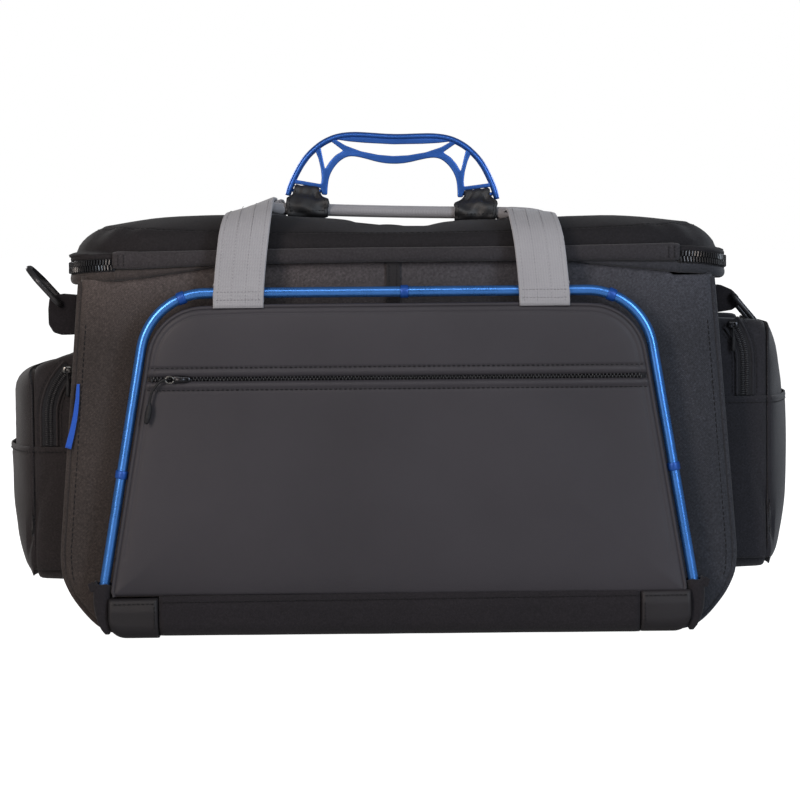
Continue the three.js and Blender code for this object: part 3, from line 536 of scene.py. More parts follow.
WEB = web_mat("grey_webbing", (0.26, 0.255, 0.27), (0.42, 0.415, 0.435))
WEBG = web_mat("grip_webbing", (0.12, 0.117, 0.122), (0.26, 0.253, 0.262))
THREAD = woven("thread_dark", (0.008, 0.008, 0.009), (0.02, 0.019, 0.021), pitch=0.5, sheen=0.1)
THREADW = woven("thread_strap", (0.20, 0.197, 0.205), (0.30, 0.296, 0.305), pitch=0.5, sheen=0.1)
THREADG = woven("thread_grey", (0.14, 0.14, 0.15), (0.24, 0.24, 0.25), pitch=0.5, sheen=0.1)
TUBE = metal("blue_anodised_tube", (0.075, 0.26, 0.72), (0.085, 0.28, 0.77), rough=0.28, grain=0.0, metallic=0.8)
CAST = metal("blue_cast_handle", (0.032, 0.13, 0.50), (0.042, 0.155, 0.57), rough=0.32, grain=0.25, metallic=0.6)
BAND = metal("blue_band", (0.010, 0.075, 0.36), (0.016, 0.095, 0.42), rough=0.4, metallic=0.35)
DARKM = metal("dark_plated_metal", (0.03, 0.03, 0.033), (0.075, 0.075, 0.08), rough=0.3)
BRIGHT = metal("worn_slider_metal", (0.12, 0.115, 0.11), (0.24, 0.235, 0.225), rough=0.28)
RUB = laminate("pull_rubber", (0.008, 0.008, 0.009), (0.02, 0.02, 0.022), rough=0.6)
LEA = laminate("loop_leather", (0.006, 0.006, 0.0072), (0.015, 0.015, 0.0175), rough=0.6, depth=0.00008)
for _n in LEA.node_tree.nodes:
    if _n.type == "BSDF_PRINCIPLED":
        _n.inputs["Specular IOR Level"].default_value = 0.75
LINE = woven("lining_weave", (0.075, 0.08, 0.088), (0.17, 0.178, 0.19), pitch=1.2, sheen=0.5)
RIB = web_mat("black_ribbon", (0.010, 0.009, 0.010), (0.03, 0.028, 0.03), rib=0.9)
BLUR = web_mat("blue_ribbon", (0.012, 0.075, 0.42), (0.03, 0.13, 0.62), rib=0.9)

# ------------------------------------------------------------------ camera, floor, light
sc = bpy.context.scene
cd = bpy.data.cameras.new("camera")
cam = bpy.data.objects.new("camera", cd)
sc.collection.objects.link(cam)
cd.sensor_width = 36
cd.lens = 2724 / 800 * 36
cd.clip_start, cd.clip_end = 0.1, 100
cam.location = (0.00005, -2.2 + 0.00365, 0.30462)
cam.rotation_mode = "QUATERNION"
cam.rotation_quaternion = (Matrix.Rotation(math.radians(90 - 3.5), 3, "X") @ Matrix.Rotation(math.radians(-0.5), 3, "Z")).to_quaternion()
sc.camera = cam

fm, fnt, fb = new_mat("floor")
fco = coords(fnt)
link(fnt, ramp(fnt, noise(fnt, fco, 3, 2), [(0.3, (0.40, 0.40, 0.40)), (0.7, (0.44, 0.44, 0.44))]), fb.inputs["Base Color"])
fb.inputs["Roughness"].default_value = 0.9
fb.inputs["Emission Color"].default_value = (1, 1, 1, 1)
flp = fnt.nodes.new("ShaderNodeLightPath")
link(fnt, math_node(fnt, "ADD", math_node(fnt, "MULTIPLY", flp.outputs["Is Camera Ray"], 0.95), 0.08), fb.inputs["Emission Strength"])
t = np.linspace(0, 2 * math.pi, 96, endpoint=False)
fv, ff = [(0, 0, 0)], []
for r in (0.6, 1.4, 4, 12, 36):
    for a in t:
        fv.append((r * math.cos(a), r * math.sin(a), -0.0004))
fv[0] = (0, 0, -0.0004)
for j in range(96):
    ff.append((0, 1 + j, 1 + (j + 1) % 96))
for i in range(4):
    for j in range(96):
        k = (j + 1) % 96
        ff.append((1 + i * 96 + j, 1 + (i + 1) * 96 + j, 1 + (i + 1) * 96 + k, 1 + i * 96 + k))
fme = bpy.data.meshes.new("floor")
fme.from_pydata(fv, [], ff)
fme.materials.append(fm)
floor = bpy.data.objects.new("floor", fme)
sc.collection.objects.link(floor)

w = bpy.data.worlds.new("world")
sc.world = w
w.use_nodes = True
wn = w.node_tree
for n in list(wn.nodes):
    wn.nodes.remove(n)
wo = wn.nodes.new("ShaderNodeOutputWorld")
bg1, bg2 = wn.nodes.new("ShaderNodeBackground"), wn.nodes.new("ShaderNodeBackground")
mx, lp = wn.nodes.new("ShaderNodeMixShader"), wn.nodes.new("ShaderNodeLightPath")
bg1.inputs[0].default_value, bg1.inputs[1].default_value = (0.93, 0.95, 1, 1), 0.15
bg2.inputs[0].default_value, bg2.inputs[1].default_value = (1, 1, 1, 1), 1.0
wn.links.new(lp.outputs["Is Camera Ray"], mx.inputs[0])
wn.links.new(bg1.outputs[0], mx.inputs[1])
wn.links.new(bg2.outputs[0], mx.inputs[2])
wn.links.new(mx.outputs[0], wo.inputs[0])


def area(name, loc, aim, size, power, color=(1, 1, 1)):
    l = bpy.data.lights.new(name, "AREA")
    l.shape = "RECTANGLE"
    l.size, l.size_y = size
    l.energy = power
    l.color = color
    o = bpy.data.objects.new(name, l)
    sc.collection.objects.link(o)
    o.location = loc
    o.rotation_mode = "QUATERNION"
    o.rotation_quaternion = (Vector(aim) - Vector(loc)).to_track_quat("-Z", "Y")
    return o


area("key_left", (-1.2, -1.9, 0.85), (-0.1, 0, 0.18), (0.6, 1.3), 22, (1, 0.88, 0.80))
area("fill_right", (1.3, -1.9, 0.85), (0.1, 0, 0.18), (0.6, 1.3), 20, (0.80, 0.89, 1))
area("front_top", (0, -1.7, 1.7), (0, -0.1, 0.2), (1.9, 0.3), 8, (1, 1, 1))
area("rear_left", (-1.6, 1.9, 1.0), (0, 0, 0.2), (1.0, 1.0), 18, (1, 1, 1))
area("rear_right", (1.8, 1.7, 0.9), (0, 0, 0.2), (0.8, 1.0), 20, (0.88, 0.93, 1))
sc.view_settings.view_transform = "Standard"

# ------------------------------------------------------------------ sizes taken from the CAD
side_line = fillet([(-240, 266), (-256.2, 62), (-255.4, 45), (-248.5, 30), (-239, 17.5), (-230, 8), (-222, 3.4), (-216.4, 2.6)], [0, 22, 9, 12, 14, 12, 8, 0], 5)
_sz = np.array([p[1] for p in side_line])[::-1]
_sx = -np.array([p[0] for p in side_line])[::-1]


def side_x(z):
    z = np.asarray(z, float)
    return np.where(z > 266, 240 - (z - 266) * 0.06, np.interp(z, _sz, _sx))


def bulge(y):
    return 8 * np.clip(1 - (np.asarray(y, float) / 127) ** 2, 0, 1)


def welt_z(x):
    """underside of the padded front strip"""
    x = np.asarray(x, float)
    t = np.clip(np.abs(x) / 213, 0, 1.05)
    return 283 - np.where(x < 0, 3.7 * np.minimum(1, t * 1.1) ** 2.4, 0.9 * t ** 4)


# ------------------------------------------------------------------ sewn body
def body_face(name, sgn, mat, node_name, seed):
    nx, nz = 150, 110
    v = np.linspace(0, 1, nz)
    u = np.linspace(-1, 1, nx)
    u = np.sign(u) * (1 - (1 - np.abs(u)) ** 1.15)
    X, Z = np.zeros((nx, nz)), np.zeros((nx, nz))
    for i, q in enumerate(u):
        e_ = np.clip((abs(q) * 240 - 196) / 14, 0, 1)
        ztop = (float(welt_z(q * 240)) + 2.5) * (1 - e_) + 271.5 * e_ if sgn < 0 else 271.0
        Z[i] = 2.9 + (ztop - 2.9) * v
        X[i] = q * side_x(Z[i])
    out = np.concatenate([np.stack([side_x(_sz), _sz], 1), [[239.2, 285], [-239.2, 285]], np.stack([-side_x(_sz[::-1]), _sz[::-1]], 1)])
    d = seg_dist(np.stack([X.ravel(), Z.ravel()], 1), out).reshape(X.shape)
    y = 130 + 1.6 * (1 - np.exp(-d / 16)) - roll_edge(d + 0.4, 5.5) + wob(X, Z, seed, 0.7, 90) * np.clip(d / 30, 0, 1)
    P = np.stack([X, sgn * y, Z], 2)
    return closed_sheet(name, P, lambda b: np.stack([b[:, 0] * 0.995, np.full(len(b), sgn * 123.5), b[:, 2]], 1), mat, "bag",
                        slot="body_fabric", replaces=node_name, padded=0.8)


# the front panel's cloth carries painted light from above in its top band
body_face("front_body_panel", -1, FAB_FRONT_PAINTED_TOPLIGHT, "front_panel", 3)
body_face("rear_body_panel", 1, FAB, "rear_panel", 4)


def side_shell(sgn):
    ns, ny = 90, 90
    line = np.vstack([[-239.4, 274.5], side_line])
    L = resample(line, n=ns)
    y = np.linspace(-126.8, 126.8, ny)
    Zs, Y = np.meshgrid(L[:, 1], y, indexing="ij")
    Xs = np.meshgrid(-L[:, 0], y, indexing="ij")[0]
    d = 126.8 - np.abs(Y)
    x = Xs + bulge(Y) * np.clip((Zs - 2) / 60, 0, 1) - roll_edge(d + 0.4, 5) + wob(Y, Zs, 20 + sgn, 0.8, 80) * np.clip(d / 25, 0, 1)
    P = np.stack([sgn * x, Y, Zs], 2)
    inn = lambda b: np.stack([b[:, 0] - sgn * 5.5 * np.clip((b[:, 2]) / 40, 0.3, 1), b[:, 1] * 0.985, b[:, 2] + 2.2 * (b[:, 2] < 12)], 1)
    return closed_sheet("side_panel_" + ("right" if sgn > 0 else "left"), P, inn, FAB, "bag", slot="body_fabric",
                        replaces="right_side_panel" if sgn > 0 else "left_side_panel", padded=0.8)


side_shell(-1)
side_shell(1)

# bound seams where the side panels meet the front and rear, with their stitches
for sgn in (-1, 1):
    for fs in (-1, 1):
        L = resample(np.vstack([[-239.6, 270], side_line]), 4)
        path = np.stack([sgn * (-L[:, 0] + 0.6), np.full(len(L), fs * 127.6), L[:, 1]], 1)
        tag = ("right" if sgn > 0 else "left") + ("_rear" if fs > 0 else "_front")
        sweep("seam_binding_" + tag, smooth_path(path, 2), circle(1.9, 10), FAB, "bag", slot="body_fabric")
        pin = path.copy()
        pin[:, 0] -= sgn * 6.6
        pin[:, 1] = fs * 130.6
        stitches("seam_stitches_" + tag, pin[8:-14], (0, fs, 0), THREAD, "bag", pitch=4.2, length=3.0, w=0.7, slot="body_fabric")

# base board
P = np.zeros((60, 40, 3))
for i, x in enumerate(np.linspace(-1, 1, 60)):
    for j, y in enumerate(np.linspace(-1, 1, 40)):
        X, Y = x * 216.5, y * 126.4
        d = min(216.5 - abs(X), 126.4 - abs(Y))
        P[i, j] = (X, Y, 0.05 + roll_edge(np.array([d + 0.2]), 3)[0] + 0.35 * (math.sin(X / 9) * math.sin(Y / 9)) ** 2)
closed_sheet("base_board", P, lambda b: np.stack([b[:, 0], b[:, 1], np.full(len(b), 4.2)], 1), BOOT, "bag", slot="boot_fabric", replaces="base_panel")

# ------------------------------------------------------------------ front pocket
pocket_out = fillet([(-216.8, 32.5), (-180.5, 249), (-106, 251), (106, 251), (180.5, 249), (216.8, 32.5)], [3, 42, 0, 0, 42, 3], 14, True)


def half_width(outline, z):
    """right half width of a symmetric outline at height z"""
    L = outline[outline[:, 0] > 0]
    o = np.argsort(L[:, 1])
    return np.interp(z, L[o, 1], L[o, 0])


def pocket_panel(name, z0, z1, node_name, seed, lip):
    nx = 220
    zs = np.r_[z0 + (z1 - z0) * (1 - np.cos(np.linspace(0, math.pi, 90))) / 2]
    if z1 > 240:
        zs[-1] = 250.95
    u = np.linspace(-1, 1, nx)
    u = np.sign(u) * (1 - (1 - np.abs(u)) ** 1.3)
    Z = np.tile(zs, (nx, 1))
    hw = half_width(pocket_out, zs)
    X = u[:, None] * hw[None, :]
    d = seg_dist(np.stack([X.ravel(), Z.ravel()], 1), pocket_out).reshape(X.shape)
    y = -156.6 - 2.6 * (1 - np.exp(-d / 9)) + roll_edge(d + 0.3, 3.2)
    # second seam line a little inside the edge
    y += 0.55 * np.exp(-((d - 5.4) / 0.9) ** 2) * (Z > 60)
    # soft fullness and slight unevenness
    y -= 1.8 * np.clip(d / 70, 0, 1) ** 0.8 * (0.6 if z1 > 240 else 1.0)
    y -= wob(X, Z, seed, 0.5, 120) * np.clip(d / 40, 0, 1)
    # the zip's lips: a rolled edge, and the stitched line beside it
    ed = (Z - z0) if lip == "low" else (z1 - Z)
    y += roll_edge(ed + 0.2, 2.4)
    sd = 7.2 if lip == "low" else 6.6
    y += 0.5 * np.exp(-((ed - sd) / 0.8) ** 2)
    y -= 0.9 * np.exp(-((ed - sd * 0.5) / 2.2) ** 2)
    P = np.stack([X, y, Z], 2)
    return closed_sheet(name, P, lambda b: np.stack([b[:, 0] * 0.998, np.full(len(b), -152.5), b[:, 2]], 1), PU, "bag",
                        slot="pocket_laminate", replaces=node_name)


ZL = 196.6
pocket_panel("pocket_upper", ZL + 1.5, 251, "front_pocket_upper_panel", 5, "low")
pocket_panel("pocket_lower", 32.5, ZL - 1.5, "front_pocket_lower_panel", 6, "high")
for nm, z, w in (("upper", ZL + 8.7, 0.0), ("lower", ZL - 8.1, 0.0)):
    hw = float(half_width(pocket_out, z)) - 2.5
    p = np.stack([np.linspace(-hw, hw, 60), np.full(60, -160.75), np.full(60, z)], 1)
    stitches("pocket_stitches_" + nm, p, (0, -1, 0), THREAD, "bag", pitch=3.7, length=2.6, w=0.8, h=0.7, slot="zip_tape")
# piping round the pocket's edge and the gusset behind it
edge = pocket_out[1:-1]
e2 = resample(np.vstack([[(-216.4, 33)], edge, [(216.4, 33)]]), 4)
sweep("pocket_piping", np.stack([e2[:, 0], np.full(len(e2), -155.6), e2[:, 1]], 1), circle(1.5, 10), PU, "bag", ref=(0, -1, 0), slot="pocket_laminate")
gp = resample(pocket_out, 4, closed=True)
gs = np.array([(-0.2, 0.5), (-0.2, 13), (-0.2, 25.6), (-3.2, 25.6), (-3.2, 0.5)])
cen = np.array([0, 120.0])
t2 = np.roll(gp, -1, 0) - np.roll(gp, 1, 0)
nr = np.stack([t2[:, 1], -t2[:, 0]], 1)
nr /= np.linalg.norm(nr, axis=1)[:, None]
if ((gp - cen) * nr).sum() < 0:
    nr = -nr
rip = wob(np.arange(len(gp)) * 4.0, 0, 9, 0.5, 60)
V = []
for i in range(len(gp)):
    for a, b in gs:
        V.append((gp[i, 0] + nr[i, 0] * (a + rip[i] * (b == 13)), -156.2 + b, gp[i, 1] + nr[i, 1] * (a + rip[i] * (b == 13))))
fix_normals(make("pocket_gusset", V, grid_faces(len(gp), 5, True, True), FAB, "bag", slot="body_fabric", replaces="front_pocket_gusset"))

# front zip: tape, coil, slider and cord pull
zp = np.zeros((120, 7, 3))
for i, x in enumerate(np.linspace(-186, 186, 120)):
    for j, z in enumerate(np.linspace(-6.5, 6.5, 7)):
        zp[i, j] = (x, -156.9 + 0.02 * z * z, ZL + z)
closed_sheet("front_zip_tape", zp, lambda b: np.stack([b[:, 0], np.full(len(b), -155.9), b[:, 2]], 1), TAPE, "bag", slot="zip_tape", replaces="front_pocket_zip_tape")
V0, F0 = chunk(0.85, 1.5, 2.6, 0.2)
xs = np.arange(-184, 184, 1.35)
copies("front_zip_coil", V0, F0, [(np.eye(3), (x, -158.2, ZL + (0.75 if i % 2 else -0.75))) for i, x in enumerate(xs)], COIL, "bag", slot="zip_tape")

FX = -166.0
# slider body: domed plate with a bridge
def dome(name, cx, cz, hx, hz, y0, depth, mat, body, dirs=(0, -1, 0), taper=0.0, **k):
    n, m = 14, 28
    V = []
    for i in range(n):
        f = i / (n - 1)
        rr = math.sin(f * math.pi / 2)
        h = math.cos(f * math.pi / 2) ** 0.8
        for j in range(m):
            a = 2 * math.pi * j / m
            ca, sa = math.cos(a), math.sin(a)
            e = (abs(ca) ** 3.2 + abs(sa) ** 3.2) ** (-1 / 3.2)
            V.append((cx + hx * rr * ca * e, y0 - depth * h, cz + hz * rr * sa * e * (1 - taper * ca)))
    off = len(V)
    for j in range(m):
        x, _, z = V[(n - 1) * m + j]
        V.append((x, y0 + 1.2, z))
    F = grid_faces(n + 1, m, False, True)
    F.append(tuple(off + j for j in range(m)))
    F.append(tuple(range(m))[::-1])
    return fix_normals(make(name, V, F, mat, body, **k))


dome("front_slider_body", FX + 4, ZL, 7.6, 3.0, -158.9, 2.2, DARKM, "front_slider", taper=0.18, slot="slider_metal", replaces="front_zip_slider")
br = np.array([(FX - 3, -160.6, ZL), (FX - 1, -163.2, ZL), (FX + 3, -164.2, ZL), (FX + 7, -163.2, ZL), (FX + 9, -160.8, ZL)])
sweep("front_slider_bridge", resample(smooth_path(resample(br, 1), 3), 0.8), rbox(1.1, 0.5, 0.35), DARKM, "front_slider", ref=(0, -1, 0), slot="slider_metal")
eye = arc(0, 0, 2.5, 0, 340, 22)
sweep("front_pull_wire", np.stack([FX - 4.4 + eye[:, 0] * 1.3, np.full(len(eye), -163.3), ZL + eye[:, 1]], 1), circle(0.62, 8), BRIGHT, "front_pull", ref=(0, -1, 0), slot="slider_metal")
cordp = smooth_path(resample(np.array([(-173.4, -163.4, 197.0), (-178.0, -163.8, 195.2), (-183.2, -163.6, 189.0), (-185.4, -163.2, 182.6), (-185.9, -163, 177)]), 1.0), 5)
sweep("front_pull_cord", cordp, circle(1.05, 10), RUB, "front_pull", ref=(0, -1, 0), slot="pull_rubber")
cp = np.array([(-185.6, -163, 179.0), (-186.2, -163.2, 174), (-187.4, -163.4, 168), (-188.6, -163.2, 163.4)])
cp = resample(cp, 0.8)
tt = np.linspace(0, 1, len(cp))
rad_ = 0.9 + 1.5 * np.clip(np.sin(tt * math.pi), 0, 1) ** 0.45
rad_[0], rad_[-1] = 0.7, 0.6
sweep("front_pull_grip", cp, [circle(r, 14, r * 0.8) * (1 + 0.05 * math.cos(i * 1.4)) for i, r in enumerate(rad_)], RUB, "front_pull", ref=(0, -1, 0), slot="pull_rubber", replaces="front_zip_pull")

# ------------------------------------------------------------------ boot along the foot
def boot(name, x0, x1, ztop0, ztop1, proud, mat, node_name, corner=None, seed=1, zlow=1.0):
    nx, ns = max(24, int((x1 - x0) / 4)), 46
    P = np.zeros((nx, ns, 3))
    for i in range(nx):
        f = i / (nx - 1)
        x = x0 + (x1 - x0) * f
        zt = ztop0 + (ztop1 - ztop0) * f
        prof = fillet([(-156.9, zt + 1.4), (-157.6 - proud, zt), (-159.3 - proud, zt - 8), (-158.6 - proud, zlow), (-131, zlow)], [0, 1.6, 8, 12, 0], 10)
        prof = resample(prof, n=ns)
        P[i, :, 0] = x
        P[i, :, 1] = prof[:, 0] + 0.0
        P[i, :, 2] = prof[:, 1]
    # drawn in at the ends, and rounded at the outer low corner
    X, Z = P[..., 0], P[..., 2]
    d = np.minimum(X - x0, x1 - X)
    P[..., 1] += roll_edge(d + 0.3, 2.2)
    P[..., 1] -= wob(X, Z, seed, 0.5, 50) * np.clip(d / 8, 0, 1)
    if corner:
        e = (X - x0) if corner < 0 else (x1 - X)
        lift = roll_edge(e + 0.2, 13) * np.clip((22 - Z) / 20, 0, 1)
        P[..., 2] += lift * 0.8
    return closed_sheet(name, P, lambda b: np.stack([b[:, 0], np.minimum(b[:, 1] + 4.5, -130.6), np.maximum(b[:, 2], 4.6)], 1), mat, "bag", slot="boot_fabric", replaces=node_name)


boot("boot_front", -181.4, 182.2, 31, 33.5, 0.0, BOOT, "front_boot_band", seed=31, zlow=1.6)
boot("boot_patch_left_skin", -219.3, -182, 29.5, 30, 1.6, PATCH, "front_boot_patch_left", corner=-1, seed=32, zlow=0.2)
boot("boot_patch_right_skin", 182.8, 220.3, 33, 33.5, 1.6, PATCH, "front_boot_patch_right", corner=1, seed=33, zlow=2.2)
for tag, a, b, z0, z1, y in (("mid", -179, 180, 28.4, 30.9, -159.3), ("left", -216, -184.5, 27.2, 27.6, -160.8), ("right", 185, 217.5, 30.7, 31.2, -160.8)):
    stitches("boot_stitches_" + tag, np.array([(a, y, z0), (b, y, z1)]), (0, -1, 0), THREAD, "bag", pitch=3.4, length=2.4, w=0.7, slot="boot_fabric")
for tag, x in (("left", -184.6), ("right", 185.4)):
    stitches("patch_edge_stitches_" + tag, np.array([(x, -161, 26), (x, -161.4, 8)]), (0, -1, 0), THREAD, "bag", pitch=3.2, length=2.3, w=0.7, slot="boot_fabric")

# rear boot: one deep band holding the rear tube's feet
def rear_boot():
    nx, ns = 110, 50
    P = np.zeros((nx, ns, 3))
    for i in range(nx):
        f = i / (nx - 1)
        x = -237.5 + 475 * f
        e = min(x + 237.5, 237.5 - x)
        prof = fillet([(131, 34), (158, 34), (158.4, 2.6), (131, 2.6)], [0, 5, 9, 0], 10)
        prof = resample(prof, n=ns)
        lift = roll_edge(np.array([e + 0.2]), 14)[0]
        P[i, :, 0] = np.clip(x, -237.5 + 9 * (1 - np.clip(prof[:, 1] / 34, 0, 1)), 237.5 - 9 * (1 - np.clip(prof[:, 1] / 34, 0, 1)))
        P[i, :, 1] = prof[:, 0] - lift * 0.25
        P[i, :, 2] = prof[:, 1]
    P[..., 1] += wob(P[..., 0], P[..., 2], 41, 0.5, 60)
    return closed_sheet("boot_rear", P, lambda b: np.stack([b[:, 0], np.full(len(b), 130.8), b[:, 2]], 1), BOOT, "bag", slot="boot_fabric", replaces="rear_boot_band")


rear_boot()
stitches("boot_rear_stitches", np.array([(-228, 158.9, 29.5), (228, 158.9, 29.5)]), (0, 1, 0), THREAD, "bag", pitch=3.6, length=2.5, w=0.7, slot="boot_fabric")

# ------------------------------------------------------------------ tube frames
def tube_x(z):
    return 224 - 0.17 * (z - 34)


tl = fillet([(-tube_x(9), 9), (-tube_x(261), 261), (tube_x(261), 261), (tube_x(9), 9)], 50, 30)
tl = resample(tl, 3.0)
for tag, y in (("front", -150), ("rear", 150)):
    tq = tl[tl[:, 1] > 23] if tag == "front" else tl
    sweep(tag + "_tube", np.stack([tq[:, 0], np.full(len(tq), y), tq[:, 1]], 1), circle(4.0, 28), TUBE, "bag", ref=(0, -1, 0), slot="blue_tube", replaces=tag + "_frame_tube")


def collar(name, x, z, dx, dz, y, node_name):
    l = math.hypot(dx, dz)
    d = np.array([dx / l, 0, dz / l])
    c = np.array([x, y, z])
    prof = [(4.05, -3.0), (4.55, -3.0), (4.85, -2.6), (4.9, -1), (4.9, 1), (4.85, 2.6), (4.55, 3.0), (4.05, 3.0)]
    n = np.array([-d[2], 0, d[0]])
    o = np.array([0, 1, 0])
    V = []
    for i in range(28):
        a = 2 * math.pi * i / 28
        for r, s in prof:
            V.append(c + d * s + (n * math.cos(a) + o * math.sin(a)) * r)
    fix_normals(make(name, V, grid_faces(28, len(prof), True, True), BAND, "bag", slot="blue_band", replaces=node_name))


def on_tube(s):
    """point and direction on the tube line nearest to the CAD band"""
    lo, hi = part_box(s)
    c = np.array([(lo.x + hi.x) * 500 - SX, (lo.z + hi.z) * 500])
    if c[1] > 200 and abs(c[0]) > 60:
        # the corner bands sit a little further round, towards the top
        c = c + [-7.5 * np.sign(c[0]), 4.0]
    i = int(np.argmin(np.hypot(tl[:, 0] - c[0], tl[:, 1] - c[1])))
    i = min(max(i, 1), len(tl) - 2)
    d = tl[i + 1] - tl[i - 1]
    return tl[i][0], tl[i][1], d[0], d[1]


for i in range(1, 6):
    x, z, dx, dz = on_tube(f"front_tube_band_{i}")
    collar(f"front_collar_{i}", x, z, dx, dz, -150, f"front_tube_band_{i}")
for i in range(1, 4):
    x, z, dx, dz = on_tube(f"rear_tube_band_{i}")
    collar(f"rear_collar_{i}", x, z, dx, dz, 150, f"rear_tube_band_{i}")

for sgn, tag in ((-1, "left"), (1, "right")):
    V = []
    # height, centre, half width, half depth, flare
    levels = [(22, 225.6, 4.4, 4.8, 0), (36, 223.6, 4.6, 5.0, 0), (40.5, 223.0, 5.2, 5.6, 1), (41.6, 223.2, 6.3, 6.6, 1), (40.6, 223.6, 7.2, 7.4, 1), (36, 224.4, 7.0, 7.4, 0.3), (28, 225.2, 6.2, 7.3, 0),
              (20, 224.9, 5.5, 7.1, 0), (12, 223.6, 4.4, 6.9, 0), (7, 222.2, 3.2, 6.4, 0), (3.6, 221.0, 1.6, 5.0, 0)]
    for z, cx, hx, hy, f in levels:
        c = rrect(-hx, -hy, hx, hy, min(hx, hy) * 0.8, 8)
        for a_, b_ in c:
            th = math.atan2(b_, a_ * sgn)
            zz = z + f * (1.8 * math.cos(th) * (1 if a_ * sgn > 0 else 0.4) + 0.8 * math.sin(3 * th + 1))
            V.append((sgn * cx + a_, -149.2 + b_, zz))
    m = len(c)
    F = grid_faces(len(levels), m, False, True) + [tuple(range(m)), tuple((len(levels) - 1) * m + j for j in range(m))[::-1]]
    fix_normals(make("tube_sleeve_" + tag, V, F, BOOT, "bag", slot="boot_fabric", replaces="front_tube_socket_" + tag))
    # small cut flap folded back at the sleeve's mouth
    fl = [(sgn * 226.5, -155.6, 36.5), (sgn * 233.4, -153.4, 36.0), (sgn * 235.4, -151.6, 41.5), (sgn * 231.6, -153.6, 43.6), (sgn * 227.8, -156.2, 40.6)]
    bk = [(x_, y_ + 1.4, z_) for x_, y_, z_ in fl]
    fix_normals(make("sleeve_flap_" + tag, fl + bk, [(0, 1, 2, 3, 4), (9, 8, 7, 6, 5)] + [(k, 5 + k, 5 + (k + 1) % 5, (k + 1) % 5) for k in range(5)], BOOT, "bag", slot="boot_fabric", smooth=False))

# centre ribbon behind the tube
rp = np.array([(-2.4, -131.6, 285), (-2.4, -132.6, 276), (-2.4, -133.2, 262), (-2.4, -134.2, 246), (-2.4, -133.5, 236)])
rp = smooth_path(resample(rp, 2), 3)
sweep("centre_ribbon", rp, rbox(5.2, 0.55, 0.4), RIB, "bag", ref=(0, -1, 0), slot="boot_fabric")
for dx in (-3.0, 2.8):
    q = rp[2:-2].copy()
    q[:, 0] += dx
    q[:, 1] -= 0.55
    stitches("centre_ribbon_stitches_" + ("a" if dx < 0 else "b"), q, (0, -1, 0), THREAD, "bag", pitch=2.8, length=1.9, w=0.6, slot="boot_fabric")

# ------------------------------------------------------------------ zipped rim
def rim_path(step=3.0, end=213.0, off=0.0, hx=250, hy=135, r=37, bl=7):
    """from the front right end, round the right side, the rear and the left, to the front left end"""
    c = rrect(-hx - off, -hy - off, hx + off, hy + off, r + off, 14)
    c = resample(c, 2.0, closed=True)
    k = np.clip((np.abs(c[:, 0]) - 190) / 60, 0, 1) * np.clip(1 - (c[:, 1] / hy) ** 2, 0, 1) * bl
    c[:, 0] += np.sign(c[:, 0]) * k
    c[:, 0] += 3.2 * np.clip((-c[:, 0] - 200) / 40, 0, 1) - 1.2 * np.clip((c[:, 0] - 200) / 40, 0, 1)
    front = (c[:, 1] < -hy - off + 0.6) & (np.abs(c[:, 0]) < end)
    ang = (np.arctan2(c[:, 1], c[:, 0]) + math.pi / 2) % (2 * math.pi)
    o = np.argsort(ang)
    c = c[o]
    front = front[o]
    c = c[~front]
    c = np.vstack([[(end, -hy - off)], c, [(-end, -hy - off)]])
    return resample(c, step)


def out_dirs(p2):
    t = np.gradient(p2, axis=0)
    t /= np.linalg.norm(t, axis=1)[:, None]
    return np.stack([t[:, 1], -t[:, 0]], 1)


RP = rim_path()
ON = out_dirs(RP)
LEN = np.r_[0, np.cumsum(np.linalg.norm(np.diff(RP, axis=0), axis=1))]
END = np.minimum(LEN, LEN[-1] - LEN)            # distance from the nearer front end


def rim_drop(path, end):
    """the zip climbs towards its front ends, a little more on the right"""
    left = 3.2 * np.exp(-(end / 42) ** 2)
    right = 1.4 * np.exp(-(end / 130) ** 2) + 4.8 * np.exp(-(end / 40) ** 2)
    return -np.where(path[:, 0] < 0, left, right)


DROP = rim_drop(RP, END)


def rim_strip(name, sec_fn, mat, body, slot, **k):
    n = len(RP)
    S = [np.asarray(sec_fn(i), float) for i in range(n)]
    m = len(S[0])
    V = np.concatenate([np.stack([RP[i, 0] + ON[i, 0] * S[i][:, 0], RP[i, 1] + ON[i, 1] * S[i][:, 0], S[i][:, 1] - DROP[i]], 1) for i in range(n)])
    F = grid_faces(n, m, False, True) + [tuple(range(m)), tuple((n - 1) * m + j for j in range(m))[::-1]]
    return fix_normals(make(name, V, F, mat, body, slot=slot, **k))


ZC = 279.6
# lower roll of the body under the zip, tapering away at the front ends
def low_roll(i):
    c = circle(1, 18)
    c = np.sign(c) * np.abs(c) ** 0.85
    return c * [4.7, 4.6] + [-3.6, ZC - 8.1]


